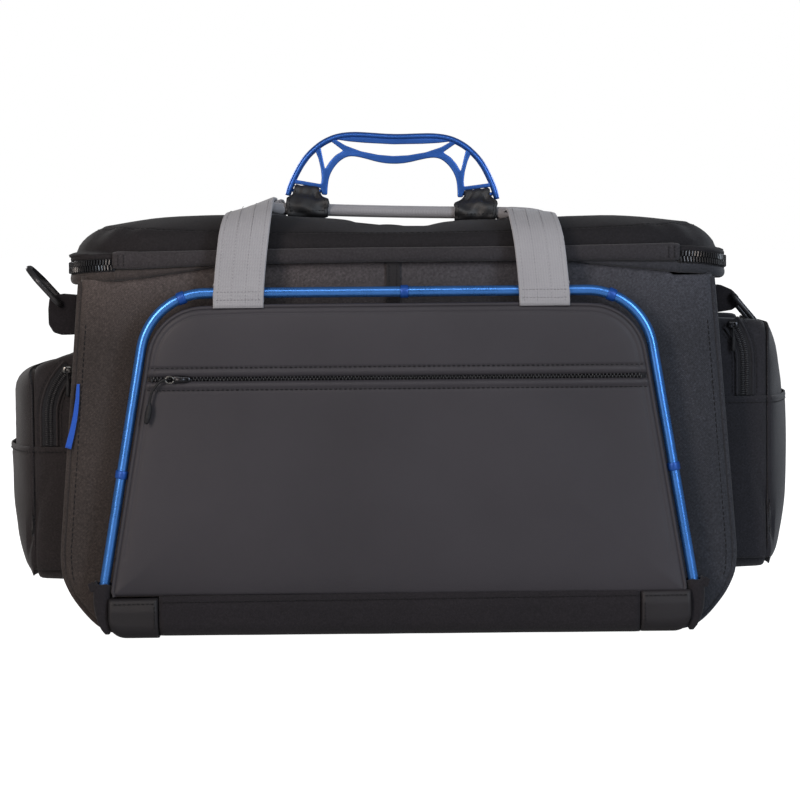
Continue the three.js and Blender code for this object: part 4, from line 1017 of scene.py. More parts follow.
rim_strip("rim_lower_roll", low_roll, FAB, "bag", "body_fabric")
rim_strip("rim_lower_tape", lambda i: rrect(-4.5, ZC - 6.4, 0.2, ZC - 0.25, 1.2, 4) + [0.1, 0], TAPE, "bag", "zip_tape", replaces="body_zip_tape")
rim_strip("rim_upper_tape", lambda i: rrect(-4.5, ZC + 0.25, 0.2, ZC + 6.4, 1.2, 4) + [0.1, 0], TAPE, "lid", "zip_tape", replaces="lid_zip_tape")
rim_strip("rim_upper_roll", lambda i: circle(1, 16) * [4.0, 3.2] + [-3.2, ZC + 6.9 + 0.35 * DROP[i]], LIDM, "lid", "body_fabric")
for sgn in (-1, 1):
    q, cs = [], []
    for x in np.linspace(214.5, 134, 44):
        f = (x - 134) / 80.5
        rz = 0.5 + 4.1 * f ** 0.8
        z1 = ZC - 3.5 - (DROP[-1] if sgn < 0 else DROP[0])
        w0, w1 = float(welt_z(sgn * x)), float(welt_z(sgn * 214.5))
        top = w0 + 0.8 + (z1 - w1 - 0.8) * f
        q.append((sgn * x, -131.2 - 0.2 * f, top - rz))
        c = circle(1, 18)
        c = np.sign(c) * np.abs(c) ** 0.85
        cs.append(c * [3.0 + 1.8 * f, rz])
    sweep("rim_front_roll_" + ("left" if sgn < 0 else "right"), np.array(q), cs, FAB, "bag", side=np.tile([0, -1.0, 0], (44, 1)), up=np.tile([0, 0, 1.0], (44, 1)), slot="body_fabric")


def teeth(name, dz, phase, body):
    q = resample(RP, 2.45)
    o = out_dirs(q)
    LQ = np.r_[0, np.cumsum(np.linalg.norm(np.diff(q, axis=0), axis=1))]
    E = np.minimum(LQ, LQ[-1] - LQ)
    dr = rim_drop(q, E)
    V0, F0 = chunk(1.5, 2.8, 4.6, 0.42)
    T = []
    for i in range(1, len(q) - 1):
        p = q[i] + (q[i + 1] - q[i]) * phase
        x = (q[i + 1] - q[i - 1])
        x = np.array([x[0], x[1], 0]) / np.linalg.norm(x)
        y = np.array([o[i, 0], o[i, 1], 0])
        z = np.array([0, 0, 1.0])
        lean = 0.1 * (1 if dz > 0 else -1)
        zt = z + x * lean
        zt /= np.linalg.norm(zt)
        T.append((np.stack([x, y, zt], 1), (p[0] + o[i, 0] * 0.9, p[1] + o[i, 1] * 0.9, ZC + dz - dr[i])))
    return copies(name, V0, F0, T, TEETH, body, slot="zip_tape", smooth=False)


teeth("rim_teeth_lower", -2.1, 0.0, "bag")
teeth("rim_teeth_upper", 2.1, 0.5, "lid")
for sgn in (-1, 1):
    tag = "left" if sgn < 0 else "right"
    for dz, body in ((-4.9, "bag"), (4.9, "lid")):
        q = rim_path(3.0, off=0.55)
        q = q[: len(q) // 2] if sgn > 0 else q[len(q) // 2:]
        lq = np.r_[0, np.cumsum(np.linalg.norm(np.diff(q, axis=0), axis=1))]
        eq = lq if sgn > 0 else lq[-1] - lq
        stitches("rim_stitches_" + tag + ("_low" if dz < 0 else "_up"), np.stack([q[:, 0], q[:, 1], ZC + dz - 0.3 - rim_drop(q, eq)], 1),
                 np.stack([out_dirs(q)[:, 0], out_dirs(q)[:, 1], np.zeros(len(q))], 1), THREAD, body, pitch=3.2, length=2.2, w=0.6, h=0.45, slot="zip_tape")

# padded strip that hinges the lid along the front
wx = np.linspace(-214.5, 214.5, 150)
wn_, wsec = [], []
sd_, up_ = [], []
for x in wx:
    e = 214.5 - abs(x)
    f = min(1, e / 6) ** 0.5
    mid = welt_z(x)
    h = 5.6 + 1.3 * min(1, abs(x) / 213) ** 3
    c = circle(1, 26)
    bump_ = 0.35 * math.sin(x / 23.0) + 0.25 * math.sin(x / 9.1 + 1)
    s = np.stack([np.sign(c[:, 0]) * np.abs(c[:, 0]) ** 0.85 * (4.3 + bump_ * 0.5) * (0.72 + 0.28 * f), np.sign(c[:, 1]) * np.abs(c[:, 1]) ** 0.8 * h * (0.86 + 0.14 * f)], 1)
    wn_.append((x, -134.6, mid + h))
    wsec.append(s)
    sd_.append((0, -1, 0))
    up_.append((0, 0, 1))
welt = sweep("lid_hinge_welt", np.array(wn_), wsec, WELTM, None, side=np.array(sd_, float), up=np.array(up_, float), slot="body_fabric", replaces="lid_hinge_strip")
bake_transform(welt)
for sgn in (-1, 1):
    for dx in (4.2, 8.4):
        wz = float(welt_z(sgn * 208))
        stitches("welt_end_stitches_%s_%d" % ("l" if sgn < 0 else "r", int(dx)), np.array([(sgn * (214.5 - dx), -139.0, wz + 11.5), (sgn * (214.5 - dx), -139.1, wz + 2.2)]),
                 (0, -1, 0), THREAD, "lid", pitch=2.4, length=1.7, w=0.6, slot="body_fabric")

# ------------------------------------------------------------------ lid
def lid_shell():
    N = 320

    def smooth01(t):
        t = np.clip(t, 0, 1)
        return t * t * (3 - 2 * t)

    def zbase(x):
        """lower edge of the front band: it runs down behind the padded strip"""
        return np.where(np.abs(x) < 213, welt_z(x) + 6.5, 289.5)

    def zseam(x):
        return 311.8 - 6.6 * (1 - (np.abs(x) / 222).clip(0, 1) ** 2.2)

    def zcrest(x):
        return np.interp(x, [-250, -190, -140, -90, -58, -37, -23, -13, -4, 6, 16, 26, 38, 52, 85, 105, 135, 170, 195, 250], [318.5, 320.2, 320.2, 319.2, 316.6, 314.4, 311.6, 311.2, 310.8, 310.4, 310.0, 310.6, 312.2, 313.4, 314.0, 315.2, 317.2, 318.0, 318.0, 317.2])

    # front inset, side inset, plan radius, how far up between base and seam (or past 1: seam to crest), height at the sides
    T = [(5.0, 6.0, 36, -0.2, 287.6), (1.6, 1.6, 37, -0.08, 288.2), (1.0, 1.0, 37, 0.0, 290.3), (3.2, 4.0, 40, 0.02, 291.6), (3.4, 6.0, 58, 0.06, 292.2), (2.9, 6.6, 60, 0.12, 293.6),
         (2.3, 8.0, 61, 0.3, 297.0), (2.6, 10.6, 62, 0.5, 300.5), (3.8, 13.8, 63, 0.7, 304.0), (5.8, 17.2, 64, 0.86, 306.8), (7.8, 20.2, 65, 0.95, 308.8), (8.8, 21.4, 66, 0.985, 309.3),
         (9.5, 22.2, 66, 0.965, 309.2), (10.3, 23.0, 66, 1.0, 310.0)]
    for o in (12, 14.5, 18, 23, 29, 36, 44, 52, 60, 68, 74, 80, 86, 92, 98, 105, 113, 121, 127, 130.5):
        f = float(np.sin(np.clip((o - 10.3) / 62, 0, 1) * math.pi / 2) ** 0.8)
        T.append((o, 13.0 + o * 1.0 + 6.0 * min(1, (o - 10) / 60), max(66 - (o - 10) * 0.55, 3.8), 1 + f, 0))
    R = []
    for of, os_, r, lv, zs in T:
        hx, hy = 250 - os_, 134.5 - of
        c = resample(rrect(-hx, -hy, hx, hy, min(r, hy - 0.1), 18), n=N, closed=True)
        k = np.clip((np.abs(c[:, 0]) - 150) / 90, 0, 1) * np.clip(1 - (c[:, 1] / 135) ** 2, 0, 1) * 7
        c = c.copy()
        c[:, 0] += np.sign(c[:, 0]) * k
        x, y = c[:, 0], c[:, 1]
        xs = np.abs(x) - 0.0
        fr = smooth01((-y - 40) / 60)
        base, seam = zbase(x) * fr + 289.5 * (1 - fr), zseam(x) * fr + 310.0 * (1 - fr)
        if lv <= 1:
            zf = base + (seam - base) * lv
            side = smooth01((np.abs(x) - 196) / 34)
            z = zf * (1 - side) + zs * side
        else:
            f = lv - 1
            z = seam * (1 - f) + zcrest(x) * f
            ed = 257 - xs
            cap = np.interp(ed, [19, 23, 27, 32, 38, 47, 58, 72, 95, 400], [309.2, 310.6, 312.8, 315.0, 316.6, 317.9, 318.9, 319.9, 320.2, 330])
            z = np.minimum(z, cap)
            z = z + wob(x, y, 51, 0.45, 110) * min(1, (of - 8) / 25)
            ridge = np.exp(-((y + 58) / 13) ** 2)
            dip = 1.8 * np.exp(-((x + 23) / 11) ** 2) + 1.9 * np.exp(-((x - 16) / 12) ** 2) + 0.9 * np.exp(-((x + 75) / 22) ** 2)
            z = z - ridge * dip + 1.2 * np.exp(-((y + 60) / 10) ** 2) * np.exp(-(x / 120) ** 4) - 1.5 * np.exp(-((y + 38) / 8) ** 2) * np.exp(-(x / 110) ** 4)
        R.append(np.stack([x, y, z], 1))
    # folds gathered at the rounded ends, shallow dents along the front band
    for i, r in enumerate(R):
        if i < 5:
            continue
        cor = smooth01((np.abs(r[:, 0]) - 170) / 30) * smooth01((-r[:, 1] - 50) / 40)
        f = math.exp(-((i - 10) / 4.5) ** 2)
        d = (np.abs(r[:, 0]) - 213) * 0.8 + (r[:, 1] + 118) * 0.6
        r[:, 2] += cor * f * 0.9 * np.sin(d / 4.2)
        r[:, 1] += 0.6 * f * np.sin(r[:, 0] / 17.0 + 0.4 * i) * (r[:, 1] < -100)
    V = np.concatenate(R)
    n = len(R)
    F = grid_faces(n, N, False, True)
    last = (n - 1) * N
    F.append(tuple(last + j for j in range(N)))
    F.append(tuple(range(N))[::-1])
    return fix_normals(make("lid_cushion", V, F, LIDM, "lid", slot="body_fabric", replaces=("lid_cover", "lid_foam"), padded=0.7)), R


lid, LR_ = lid_shell()
seamline = LR_[11]
stitches("lid_seam_stitches", resample(seamline, 4, closed=True) + [0, 0, 0.2], (0, 0, 1), THREAD, "lid", pitch=4.4, length=3.1, w=0.7, h=0.5, closed=True, slot="body_fabric")
# quilted underside of the lid
P = np.zeros((90, 50, 3))
for i, x in enumerate(np.linspace(-1, 1, 90)):
    for j, y in enumerate(np.linspace(-1, 1, 50)):
        X, Y = x * 238, y * 126
        rr = 30
        ex, ey = max(0, abs(X) - (238 - rr)), max(0, abs(Y) - (126 - rr))
        if ex and ey and math.hypot(ex, ey) > rr:
            s = rr / math.hypot(ex, ey)
            X = math.copysign(238 - rr + ex * s, X)
            Y = math.copysign(126 - rr + ey * s, Y)
        q = 1.3 * abs(math.sin(math.pi * (X + 240) / 96)) ** 0.5 * abs(math.sin(math.pi * (Y + 126) / 84)) ** 0.5
        P[i, j] = (X, Y, 283.9 - q)
closed_sheet("lid_lining", P, lambda b: np.stack([b[:, 0], b[:, 1], np.full(len(b), 285.6)], 1), LINE, "lid", slot="lining")

# ------------------------------------------------------------------ inside: tub and dividers
def tub():
    N = 200
    def ring(hx, hy, r, z):
        c = resample(rrect(-hx, -hy, hx, hy, r, 12), n=N, closed=True)
        return np.stack([c[:, 0], c[:, 1], np.full(N, z)], 1)
    lv = [(100, 20, 12, 14.3), (204, 115, 14, 14.3), (207, 116, 14, 16), (222, 116.6, 14, 36), (238, 117, 14, 62), (235, 117, 14, 120), (230.5, 117, 14, 190), (227.2, 117, 14, 255), (226.8, 117.2, 14, 262.5), (228.2, 118.6, 13, 264.8),
          (231.6, 121.8, 11, 266), (234.6, 124.8, 9, 264.4), (235.6, 125.8, 8, 260), (240, 126, 8, 190), (250, 126, 8, 60), (248, 126, 8, 50), (212, 126, 8, 6.4)]
    R = [ring(*l) for l in lv]
    for i, r in enumerate(R):
        if 4 <= i <= 8:
            r[:, 1] -= np.sign(r[:, 1]) * np.clip(wob(r[:, 0], r[:, 2], 61, 0.6, 70) + 0.3, -0.4, 1) * (np.abs(r[:, 1]) > 110)
    F = grid_faces(len(R), N, False, True) + [tuple(range(N)), tuple((len(R) - 1) * N + j for j in range(N))[::-1]]
    return fix_normals(make("padded_tub", np.concatenate(R), F, LINE, "bag", slot="lining", replaces="padded_liner", padded=0.8))


tub()
for tag, x in (("left", -84.0), ("right", 84.0)):
    n1, n2 = 60, 50
    G = []
    for s in (-1, 1):
        P = np.zeros((n1, n2, 3))
        for i, a in enumerate(np.linspace(-1, 1, n1)):
            for j, b in enumerate(np.linspace(0, 1, n2)):
                Y, Z = a * 115.4, 15.3 + b * 189.6
                ex, ez = max(0, abs(Y) - 103), max(0, Z - 192.5)
                if ex and ez and math.hypot(ex, ez) > 12.4:
                    k = 12.4 / math.hypot(ex, ez)
                    Y = math.copysign(103 + ex * k, Y)
                    Z = 192.5 + ez * k
                d = min(115.4 - abs(Y), 204.9 - Z, Z - 15.2)
                P[i, j] = (x + s * (3.9 - roll_edge(np.array([d + 0.15]), 3.2)[0] - 0.5 * math.exp(-((d - 9) / 1.2) ** 2)), Y, Z)
        G.append(P)
    V = np.concatenate([G[0].reshape(-1, 3), G[1].reshape(-1, 3)])
    off = n1 * n2
    F = grid_faces(n1, n2) + [f[::-1] for f in grid_faces(n1, n2, off=off)]
    idx = [i * n2 for i in range(n1)] + [(n1 - 1) * n2 + j for j in range(1, n2)] + [i * n2 + n2 - 1 for i in range(n1 - 2, -1, -1)] + [j for j in range(n2 - 2, 0, -1)]
    for a in range(len(idx)):
        b = (a + 1) % len(idx)
        F.append((idx[a], idx[b], off + idx[b], off + idx[a]))
    fix_normals(make("padded_divider_" + tag, V, F, LINE, "divider_" + tag[0], slot="lining", replaces="divider_" + tag, padded=0.9))

# ------------------------------------------------------------------ side pockets
class Pouch:
    """side pocket: a gusset standing out from the body and a crowned outer panel"""

    def __init__(self, sgn, xe, amp, tops, low, zt, zl, tag):
        self.sgn, self.xe, self.amp, self.tops, self.low, self.zt, self.zl, self.tag = sgn, xe, amp, tops, low, zt, zl, tag

    def top(self, x):
        return np.interp(x, [t[0] for t in self.tops], [t[1] for t in self.tops])

    def crown(self, y, z):
        P = np.clip(1 - (np.abs(y) / 96.5) ** 2.4, 0, 1) ** 0.75
        z0, z1 = self.zt
        up = np.clip(1 - np.clip((z - z0) / (z1 - z0), 0, 1) ** 2.3, 0, 1) ** 0.6
        l0, l1 = self.zl
        dn = np.clip(1 - np.clip((l0 - z) / (l0 - l1), 0, 1) ** 2, 0, 1) ** 0.6
        return self.amp * P * up * dn


def pouch(pk, seed):
    N = 220
    sgn, tag = pk.sgn, pk.tag
    R = []
    for f, ins in ((0, 0), (0.08, 0), (0.2, 0), (0.34, 0), (0.48, 0), (0.62, 0), (0.76, 0), (0.88, 0.2), (0.95, 0.8), (0.985, 1.9)):
        xm = 248 + (pk.xe - 248) * f
        z1, z0 = float(pk.top(xm)) - ins, pk.low + 1.2 * f + ins
        hy = 97.4 - ins
        pr = resample(rrect(-hy, z0, hy, z1, 15, 12), n=N, closed=True)
        y, z = pr[:, 0], pr[:, 1]
        topw = np.clip((z - (z1 - 16)) / 16, 0, 1) ** 2 * np.clip((86 - np.abs(y)) / 14, 0, 1)
        z = z - topw * (16 if sgn > 0 else 7) * math.sin(math.pi * min(1, 0.25 + f * 0.62))
        xb = side_x(np.maximum(z, 12)) + bulge(y) * np.clip((z - 2) / 60, 0, 1) + 0.6
        R.append(np.stack([xb + (pk.xe - xb) * f, y, z], 1))
    z1, z0 = float(pk.top(pk.xe)) - 1.6, pk.low + 2.6
    R.append(np.stack([np.full(N, pk.xe + 0.4)] + list(resample(rrect(-93.4, z0 + 2.2, 93.4, z1 - 2.2, 15, 12), n=N, closed=True).T), 1))
    zm, hz = (z0 + z1) / 2, (z1 - z0) / 2
    for d in (0.2, 0.0, 0.6, 1.6, 3.2, 5.6, 9, 13.5, 19, 26, 35, 46, 58, hz - 1.5):
        pr = resample(rrect(-96.4 + d, z0 + d, 96.4 - d, z1 - d, max(16 - d * 0.2, 1.2) if d < hz - 2 else 1.2, 12), n=N, closed=True)
        y, z = pr[:, 0], pr[:, 1]
        lift = 1.3 if d else 0.5
        R.append(np.stack([pk.xe + lift + pk.crown(y, z), y, z], 1))
    V = np.concatenate(R)
    X, Y, Z = V[:, 0], V[:, 1].copy(), V[:, 2].copy()
    ing = (X < pk.xe + 1.5)
    sp = np.clip((X - 258) / 12, 0, 1)
    fr = np.clip((np.abs(Y) - 80) / 12, 0, 1)
    # slack in the gusset: long shallow folds and a pinch that runs down towards the foot
    V[:, 1] += np.sign(Y) * fr * sp * wob(X * 2.0, Z, seed, 0.8, 60)
    dl = np.abs((X - pk.xe + 3) * 0.95 + (Z - pk.low - 62) * 0.27)
    V[:, 1] -= np.sign(Y) * fr * 3.2 * np.exp(-(dl / 3.4) ** 2) * np.clip((pk.low + 88 - Z) / 30, 0, 1) * np.clip((Z - pk.low - 12) / 20, 0, 1)
    V[:, 0] += np.clip((X - pk.xe - 2) / 8, 0, 1) * wob(Y, Z, seed + 1, 0.9, 65)
    V[:, 0] *= sgn
    n = len(R)
    F = grid_faces(n, N, False, True) + [tuple((n - 1) * N + j for j in range(N)), tuple(range(N))[::-1]]
    return fix_normals(make("side_pouch_" + tag, V, F, FAB2, "bag", slot="body_fabric", replaces=tag + "_pocket_pouch"))


LP = Pouch(-1, 281.4, 23.0, [(240, 217.5), (249, 215.5), (262, 211.5), (276, 206.5), (282, 204)], 37, (182, 203.5), (98, 35), "left")
RP_ = Pouch(1, 285.4, 21.5, [(240, 239), (260, 237.6), (284, 236.4), (286, 235)], 42, (150, 235), (102, 41), "right")
pouch(LP, 71)
pouch(RP_, 74)


def outer_layer(pk, hem, seed, node_name):
    """slip pocket: front gusset, outer face and rear gusset wrapped by one layer with a turned hem"""
    sgn, tag = pk.sgn, pk.tag
    ys = np.concatenate([-96.4 + 192.8 * (1 - np.cos(np.linspace(0, math.pi, 70))) / 2])
    plan = [(252, -98.6), (pk.xe - 6, -98.4), (pk.xe - 1.4, -97.2), (pk.xe + 0.2, -94.4)]
    front = resample(smooth_path(resample(np.array(plan, float), 1.5), 3), 2.2)
    nz = 50
    lowz = pk.low + 9
    u = np.linspace(0, 1, nz)
    rows = []
    for f in u:
        z = lowz + (hem - lowz) * f
        pt = [(x, y, z) for x, y in front]
        pt += [(pk.xe + 2.1 + float(pk.crown(y, z)), y * 0.998, z) for y in ys[1:-1]]
        pt += [(x, -y, z) for x, y in front[::-1]]
        rows.append(pt)
    P = np.array(rows).transpose(1, 0, 2).copy()
    n1 = len(P)
    t = np.gradient(P[..., :2], axis=0)
    t /= np.maximum(np.linalg.norm(t, axis=2)[..., None], 1e-9)
    nn = np.zeros_like(P)
    nn[..., 0], nn[..., 1] = t[..., 1], -t[..., 0]
    d = hem - P[..., 2]
    th = 0.9 - 0.5 * np.exp(-((d - 6) / 1.1) ** 2) + 0.5 * np.exp(-((d - 2) / 2.0) ** 2) - 0.9 * np.exp(-((P[..., 2] - lowz) / 2.5) ** 2)
    arcl = np.r_[0, np.cumsum(np.linalg.norm(np.diff(P[:, -1, :2], axis=0), axis=1))]
    S = np.tile(arcl[:, None], (1, nz))
    th = th + wob(S, P[..., 2], seed, 0.7, 55) * np.clip((P[..., 2] - lowz) / 15, 0, 1)
    dl = np.abs((P[..., 0] - pk.xe + 3) * 0.95 + (P[..., 2] - pk.low - 62) * 0.27)
    fr = (np.abs(P[..., 1]) > 90)
    th = th - fr * 3.0 * np.exp(-(dl / 3.4) ** 2) * np.clip((pk.low + 88 - P[..., 2]) / 30, 0, 1) * np.clip((P[..., 2] - pk.low - 12) / 20, 0, 1)
    mo = np.exp(-((S - arcl[-1] / 2) / 55) ** 2) * u[None, :] ** 3 * 1.8
    P = P + nn * (th + mo)[..., None]
    B = P - nn * 1.3
    P[..., 0] *= sgn
    B[..., 0] *= sgn
    V = np.concatenate([P.reshape(-1, 3), B.reshape(-1, 3)])
    off = n1 * nz
    F = grid_faces(n1, nz) + [f[::-1] for f in grid_faces(n1, nz, off=off)]
    idx = [i * nz for i in range(n1)] + [(n1 - 1) * nz + j for j in range(1, nz)] + [i * nz + nz - 1 for i in range(n1 - 2, -1, -1)] + [j for j in range(nz - 2, 0, -1)]
    for a in range(len(idx)):
        b = (a + 1) % len(idx)
        F.append((idx[a], idx[b], off + idx[b], off + idx[a]))
    fix_normals(make("slip_pocket_" + tag, V, F, FAB2, "bag", slot="body_fabric", replaces=node_name))
    m = nn * [sgn, 1, 1]
    j = int(nz * 0.955)
    stitches("slip_hem_stitches_" + tag, P[:, j] + m[:, j] * 0.3, m[:, j], THREAD, "bag", pitch=3.4, length=2.4, w=0.7, slot="body_fabric")


outer_layer(LP, 142, 81, "left_pocket_slip_panel")
outer_layer(RP_, 177, 84, "right_pocket_slip_panel")

def pocket_zip(Z, sgn, tag, hem, node_name):
    """curved zip on the front of a side pocket: sunk tape, ladder coil and two bound edges"""
    a_end = 180 if sgn < 0 else 0
    line = np.vstack([arc(Z["c"][0], Z["c"][1], Z["r"], Z["a0"], a_end, 30), [(Z["c"][0] + sgn * Z["r"], hem + 0.4)]])
    line = resample(line, 1.45)
    path = np.stack([line[:, 0], np.full(len(line), -98.0), line[:, 1]], 1)
    sweep("pocket_zip_tape_" + tag, path, rbox(6.0, 0.45, 0.3), TAPE, "bag", ref=(0, -1, 0), slot="zip_tape", replaces=node_name)
    t_ = np.gradient(line, axis=0)
    t_ /= np.linalg.norm(t_, axis=1)[:, None]
    nr = np.stack([-t_[:, 1], t_[:, 0]], 1)
    for k, nm in ((-6.2, "a"), (6.2, "b")):
        e = line + nr * k
        sweep("pocket_zip_binding_%s_%s" % (tag, nm), smooth_path(np.stack([e[:, 0], np.full(len(e), -98.2), e[:, 1]], 1), 3), circle(1.0, 10), FAB2, "bag", ref=(0, -1, 0), slot="body_fabric")
        e = line + nr * k * 1.5
        stitches("pocket_zip_stitches_%s_%s" % (tag, nm), np.stack([e[:, 0], np.full(len(e), -98.3), e[:, 1]], 1)[::2], (0, -1, 0), THREAD, "bag", pitch=3.2, length=2.2, w=0.5, h=0.5, slot="body_fabric")
    V0, F0 = chunk(0.85, 1.2, 2.9, 0.25)
    T = []
    for i in range(1, len(line) - 1):
        x = np.array([t_[i, 0], 0, t_[i, 1]])
        z = np.array([nr[i, 0], 0, nr[i, 1]])
        y = np.cross(z, x)
        for k in (-1.6, 1.6):
            T.append((np.stack([x, y, z], 1), (line[i, 0] + nr[i, 0] * k + t_[i, 0] * (0.35 if k > 0 else 0), -98.7, line[i, 1] + nr[i, 1] * k + t_[i, 1] * (0.35 if k > 0 else 0))))
    copies("pocket_zip_coil_" + tag, V0, F0, T, COIL, "bag", slot="zip_tape")


LZ = {"c": (-219.5, 166.0), "r": 50.0, "a0": 132}
RZ = {"c": (217.5, 203.0), "r": 51.0, "a0": 38}
pocket_zip(LZ, -1, "left", 142, "left_pocket_zip_tape")
pocket_zip(RZ, 1, "right", 177, "right_pocket_zip_tape")

for tag, Z, a in (("left", LZ, 134), ("right", RZ, 35)):
    cx, cz = Z["c"][0] + Z["r"] * math.cos(math.radians(a)), Z["c"][1] + Z["r"] * math.sin(math.radians(a))
    dome(tag + "_slider_shell", cx, cz, 4.6, 3.0, -99.6, 1.9, BRIGHT if tag == "left" else DARKM, tag + "_slider", slot="slider_metal", replaces=tag + "_pocket_slider")
    e = arc(0, 0, 2.0, 90, 430, 20)
    sweep(tag + "_pull_ring", np.stack([cx + e[:, 0], np.full(len(e), -102.4), cz + e[:, 1] - 0.4], 1), circle(0.5, 8), DARKM, tag + "_pull", ref=(0, -1, 0), slot="slider_metal")
    pp = resample(np.array([(cx, -102.4, cz - 2.2), (cx + 0.3, -101.6, cz - 10), (cx, -101.2, cz - 21)]), 1.0)
    rr = np.interp(np.linspace(0, 1, len(pp)), [0, 0.3, 0.36, 0.5, 0.9, 1], [0.7, 0.7, 1.1, 1.7, 1.6, 0.7])
    sweep(tag + "_pull_grip", pp, [circle(r, 12, r * 0.7) for r in rr], RUB, tag + "_pull", ref=(0, -1, 0), slot="pull_rubber", replaces=tag + "_pocket_pull")

# blue ribbon tab in the left seam
bt = np.array([(-242.6, -131.6, 192.4), (-243.3, -132.2, 181), (-245.0, -132.8, 168), (-247.6, -132.8, 156), (-251.0, -132.2, 143.5)])
bt = resample(smooth_path(resample(bt, 2), 4), 2)
sweep("blue_seam_ribbon", bt, [rbox(1.1 + 1.35 * (i / len(bt)) ** 0.8, 0.45, 0.3) for i in range(len(bt))], BLUR, "bag", ref=(0, -1, 0), slot="blue_ribbon", replaces="left_loop_tab")

# ------------------------------------------------------------------ rings and their tabs
def ring(tag, px, pz, ang, node_name):
    d = np.array([math.cos(math.radians(ang)), math.sin(math.radians(ang))])
    loop = fillet([(-18, 0), (18, 0), (18, 26), (9, 38), (-9, 38), (-18, 26)], [4, 4, 10, 9, 9, 10], 8, True)
    loop = resample(loop, 1.6, closed=True)
    p = np.stack([px + d[0] * loop[:, 1], -60 + loop[:, 0], pz + d[1] * loop[:, 1]], 1)
    sweep(tag + "_d_ring", p, circle(2.25, 16), RINGM, tag + "_ring", closed=True, ref=(-d[1], 0, d[0]), slot="ring_wire", replaces=node_name)


RINGM = metal("ring_black_wire", (0.03, 0.03, 0.032), (0.07, 0.07, 0.075), rough=0.32, metallic=0.6)
ring("left", -262.5, 251.5, 132, "left_ring")
ring("right", 262.5, 254, -50, "right_ring")


def strap_tab(name, path2, width, mat, body, node_name, thick=1.3, y0=-60.0):
    """a folded strip of webbing seen edge on: path2 is (x, z) down and round the ring's bar"""
    p = smooth_path(resample(path2, 1.2), 3)
    P = np.stack([p[:, 0], np.full(len(p), y0), p[:, 1]], 1)
    t = np.gradient(p, axis=0)
    t /= np.linalg.norm(t, axis=1)[:, None]
    side = np.tile([0.0, 1.0, 0.0], (len(p), 1))
    up = np.stack([-t[:, 1], np.zeros(len(p)), t[:, 0]], 1)
    return sweep(name, P, rbox(width / 2, thick, 0.6, 4), mat, body, side=side, up=up, slot="boot_fabric", replaces=node_name)




def ring_block(tag, outline, node_name, slit):
    """webbing folded round the ring's bar and padded out to a block"""
    o = resample(fillet(outline, 3.2, 6, True), 1.4, closed=True)
    c = o.mean(0)
    V, lv = [], ((-11.6, 0.86), (-11.2, 0.95), (-10.2, 1.0), (-4, 1.01), (4, 1.01), (10.2, 1.0), (11.2, 0.95), (11.6, 0.86))
    for dy, k in lv:
        for q in o:
            p_ = c + (q - c) * k
            V.append((p_[0], -60 + dy, p_[1]))
    m = len(o)
    F = grid_faces(len(lv), m, False, True) + [tuple(range(m)), tuple((len(lv) - 1) * m + j for j in range(m))[::-1]]
    fix_normals(make(tag + "_ring_webbing", V, F, BOOT, "bag", slot="boot_fabric", replaces=node_name))
    q = np.array([c + (p_ - c) * 0.80 for p_ in o])
    stitches(tag + "_ring_webbing_stitches", np.stack([q[:, 0], np.full(m, -71.5), q[:, 1]], 1), (0, -1, 0), THREAD, "bag", pitch=3.0, length=2.0, w=0.6, h=0.5, closed=True, slot="boot_fabric")


ring_block("left", [(-249.5, 258.5), (-262, 259.6), (-271.2, 257.4), (-272.4, 248), (-272.2, 236), (-268.4, 229.6), (-262, 227.6), (-250.6, 227.8)], "left_ring_tab", None)
ring_block("right", [(246, 262.0), (253.5, 262.4), (262, 258.6), (267.6, 253), (267.8, 246.5), (262, 242.6), (248, 240.5)], "right_ring_tab", None)

# ------------------------------------------------------------------ carry straps
TW, TT = 38.0, 2.4


def flat_sec(a, b, m=36):
    """rounded flat outline with m points, starting at +side"""
    c = rrect(-a, -b, a, b, min(a, b) * 0.9, (m // 4) - 1)
    return c


TILT = math.sin(math.radians(1.6))


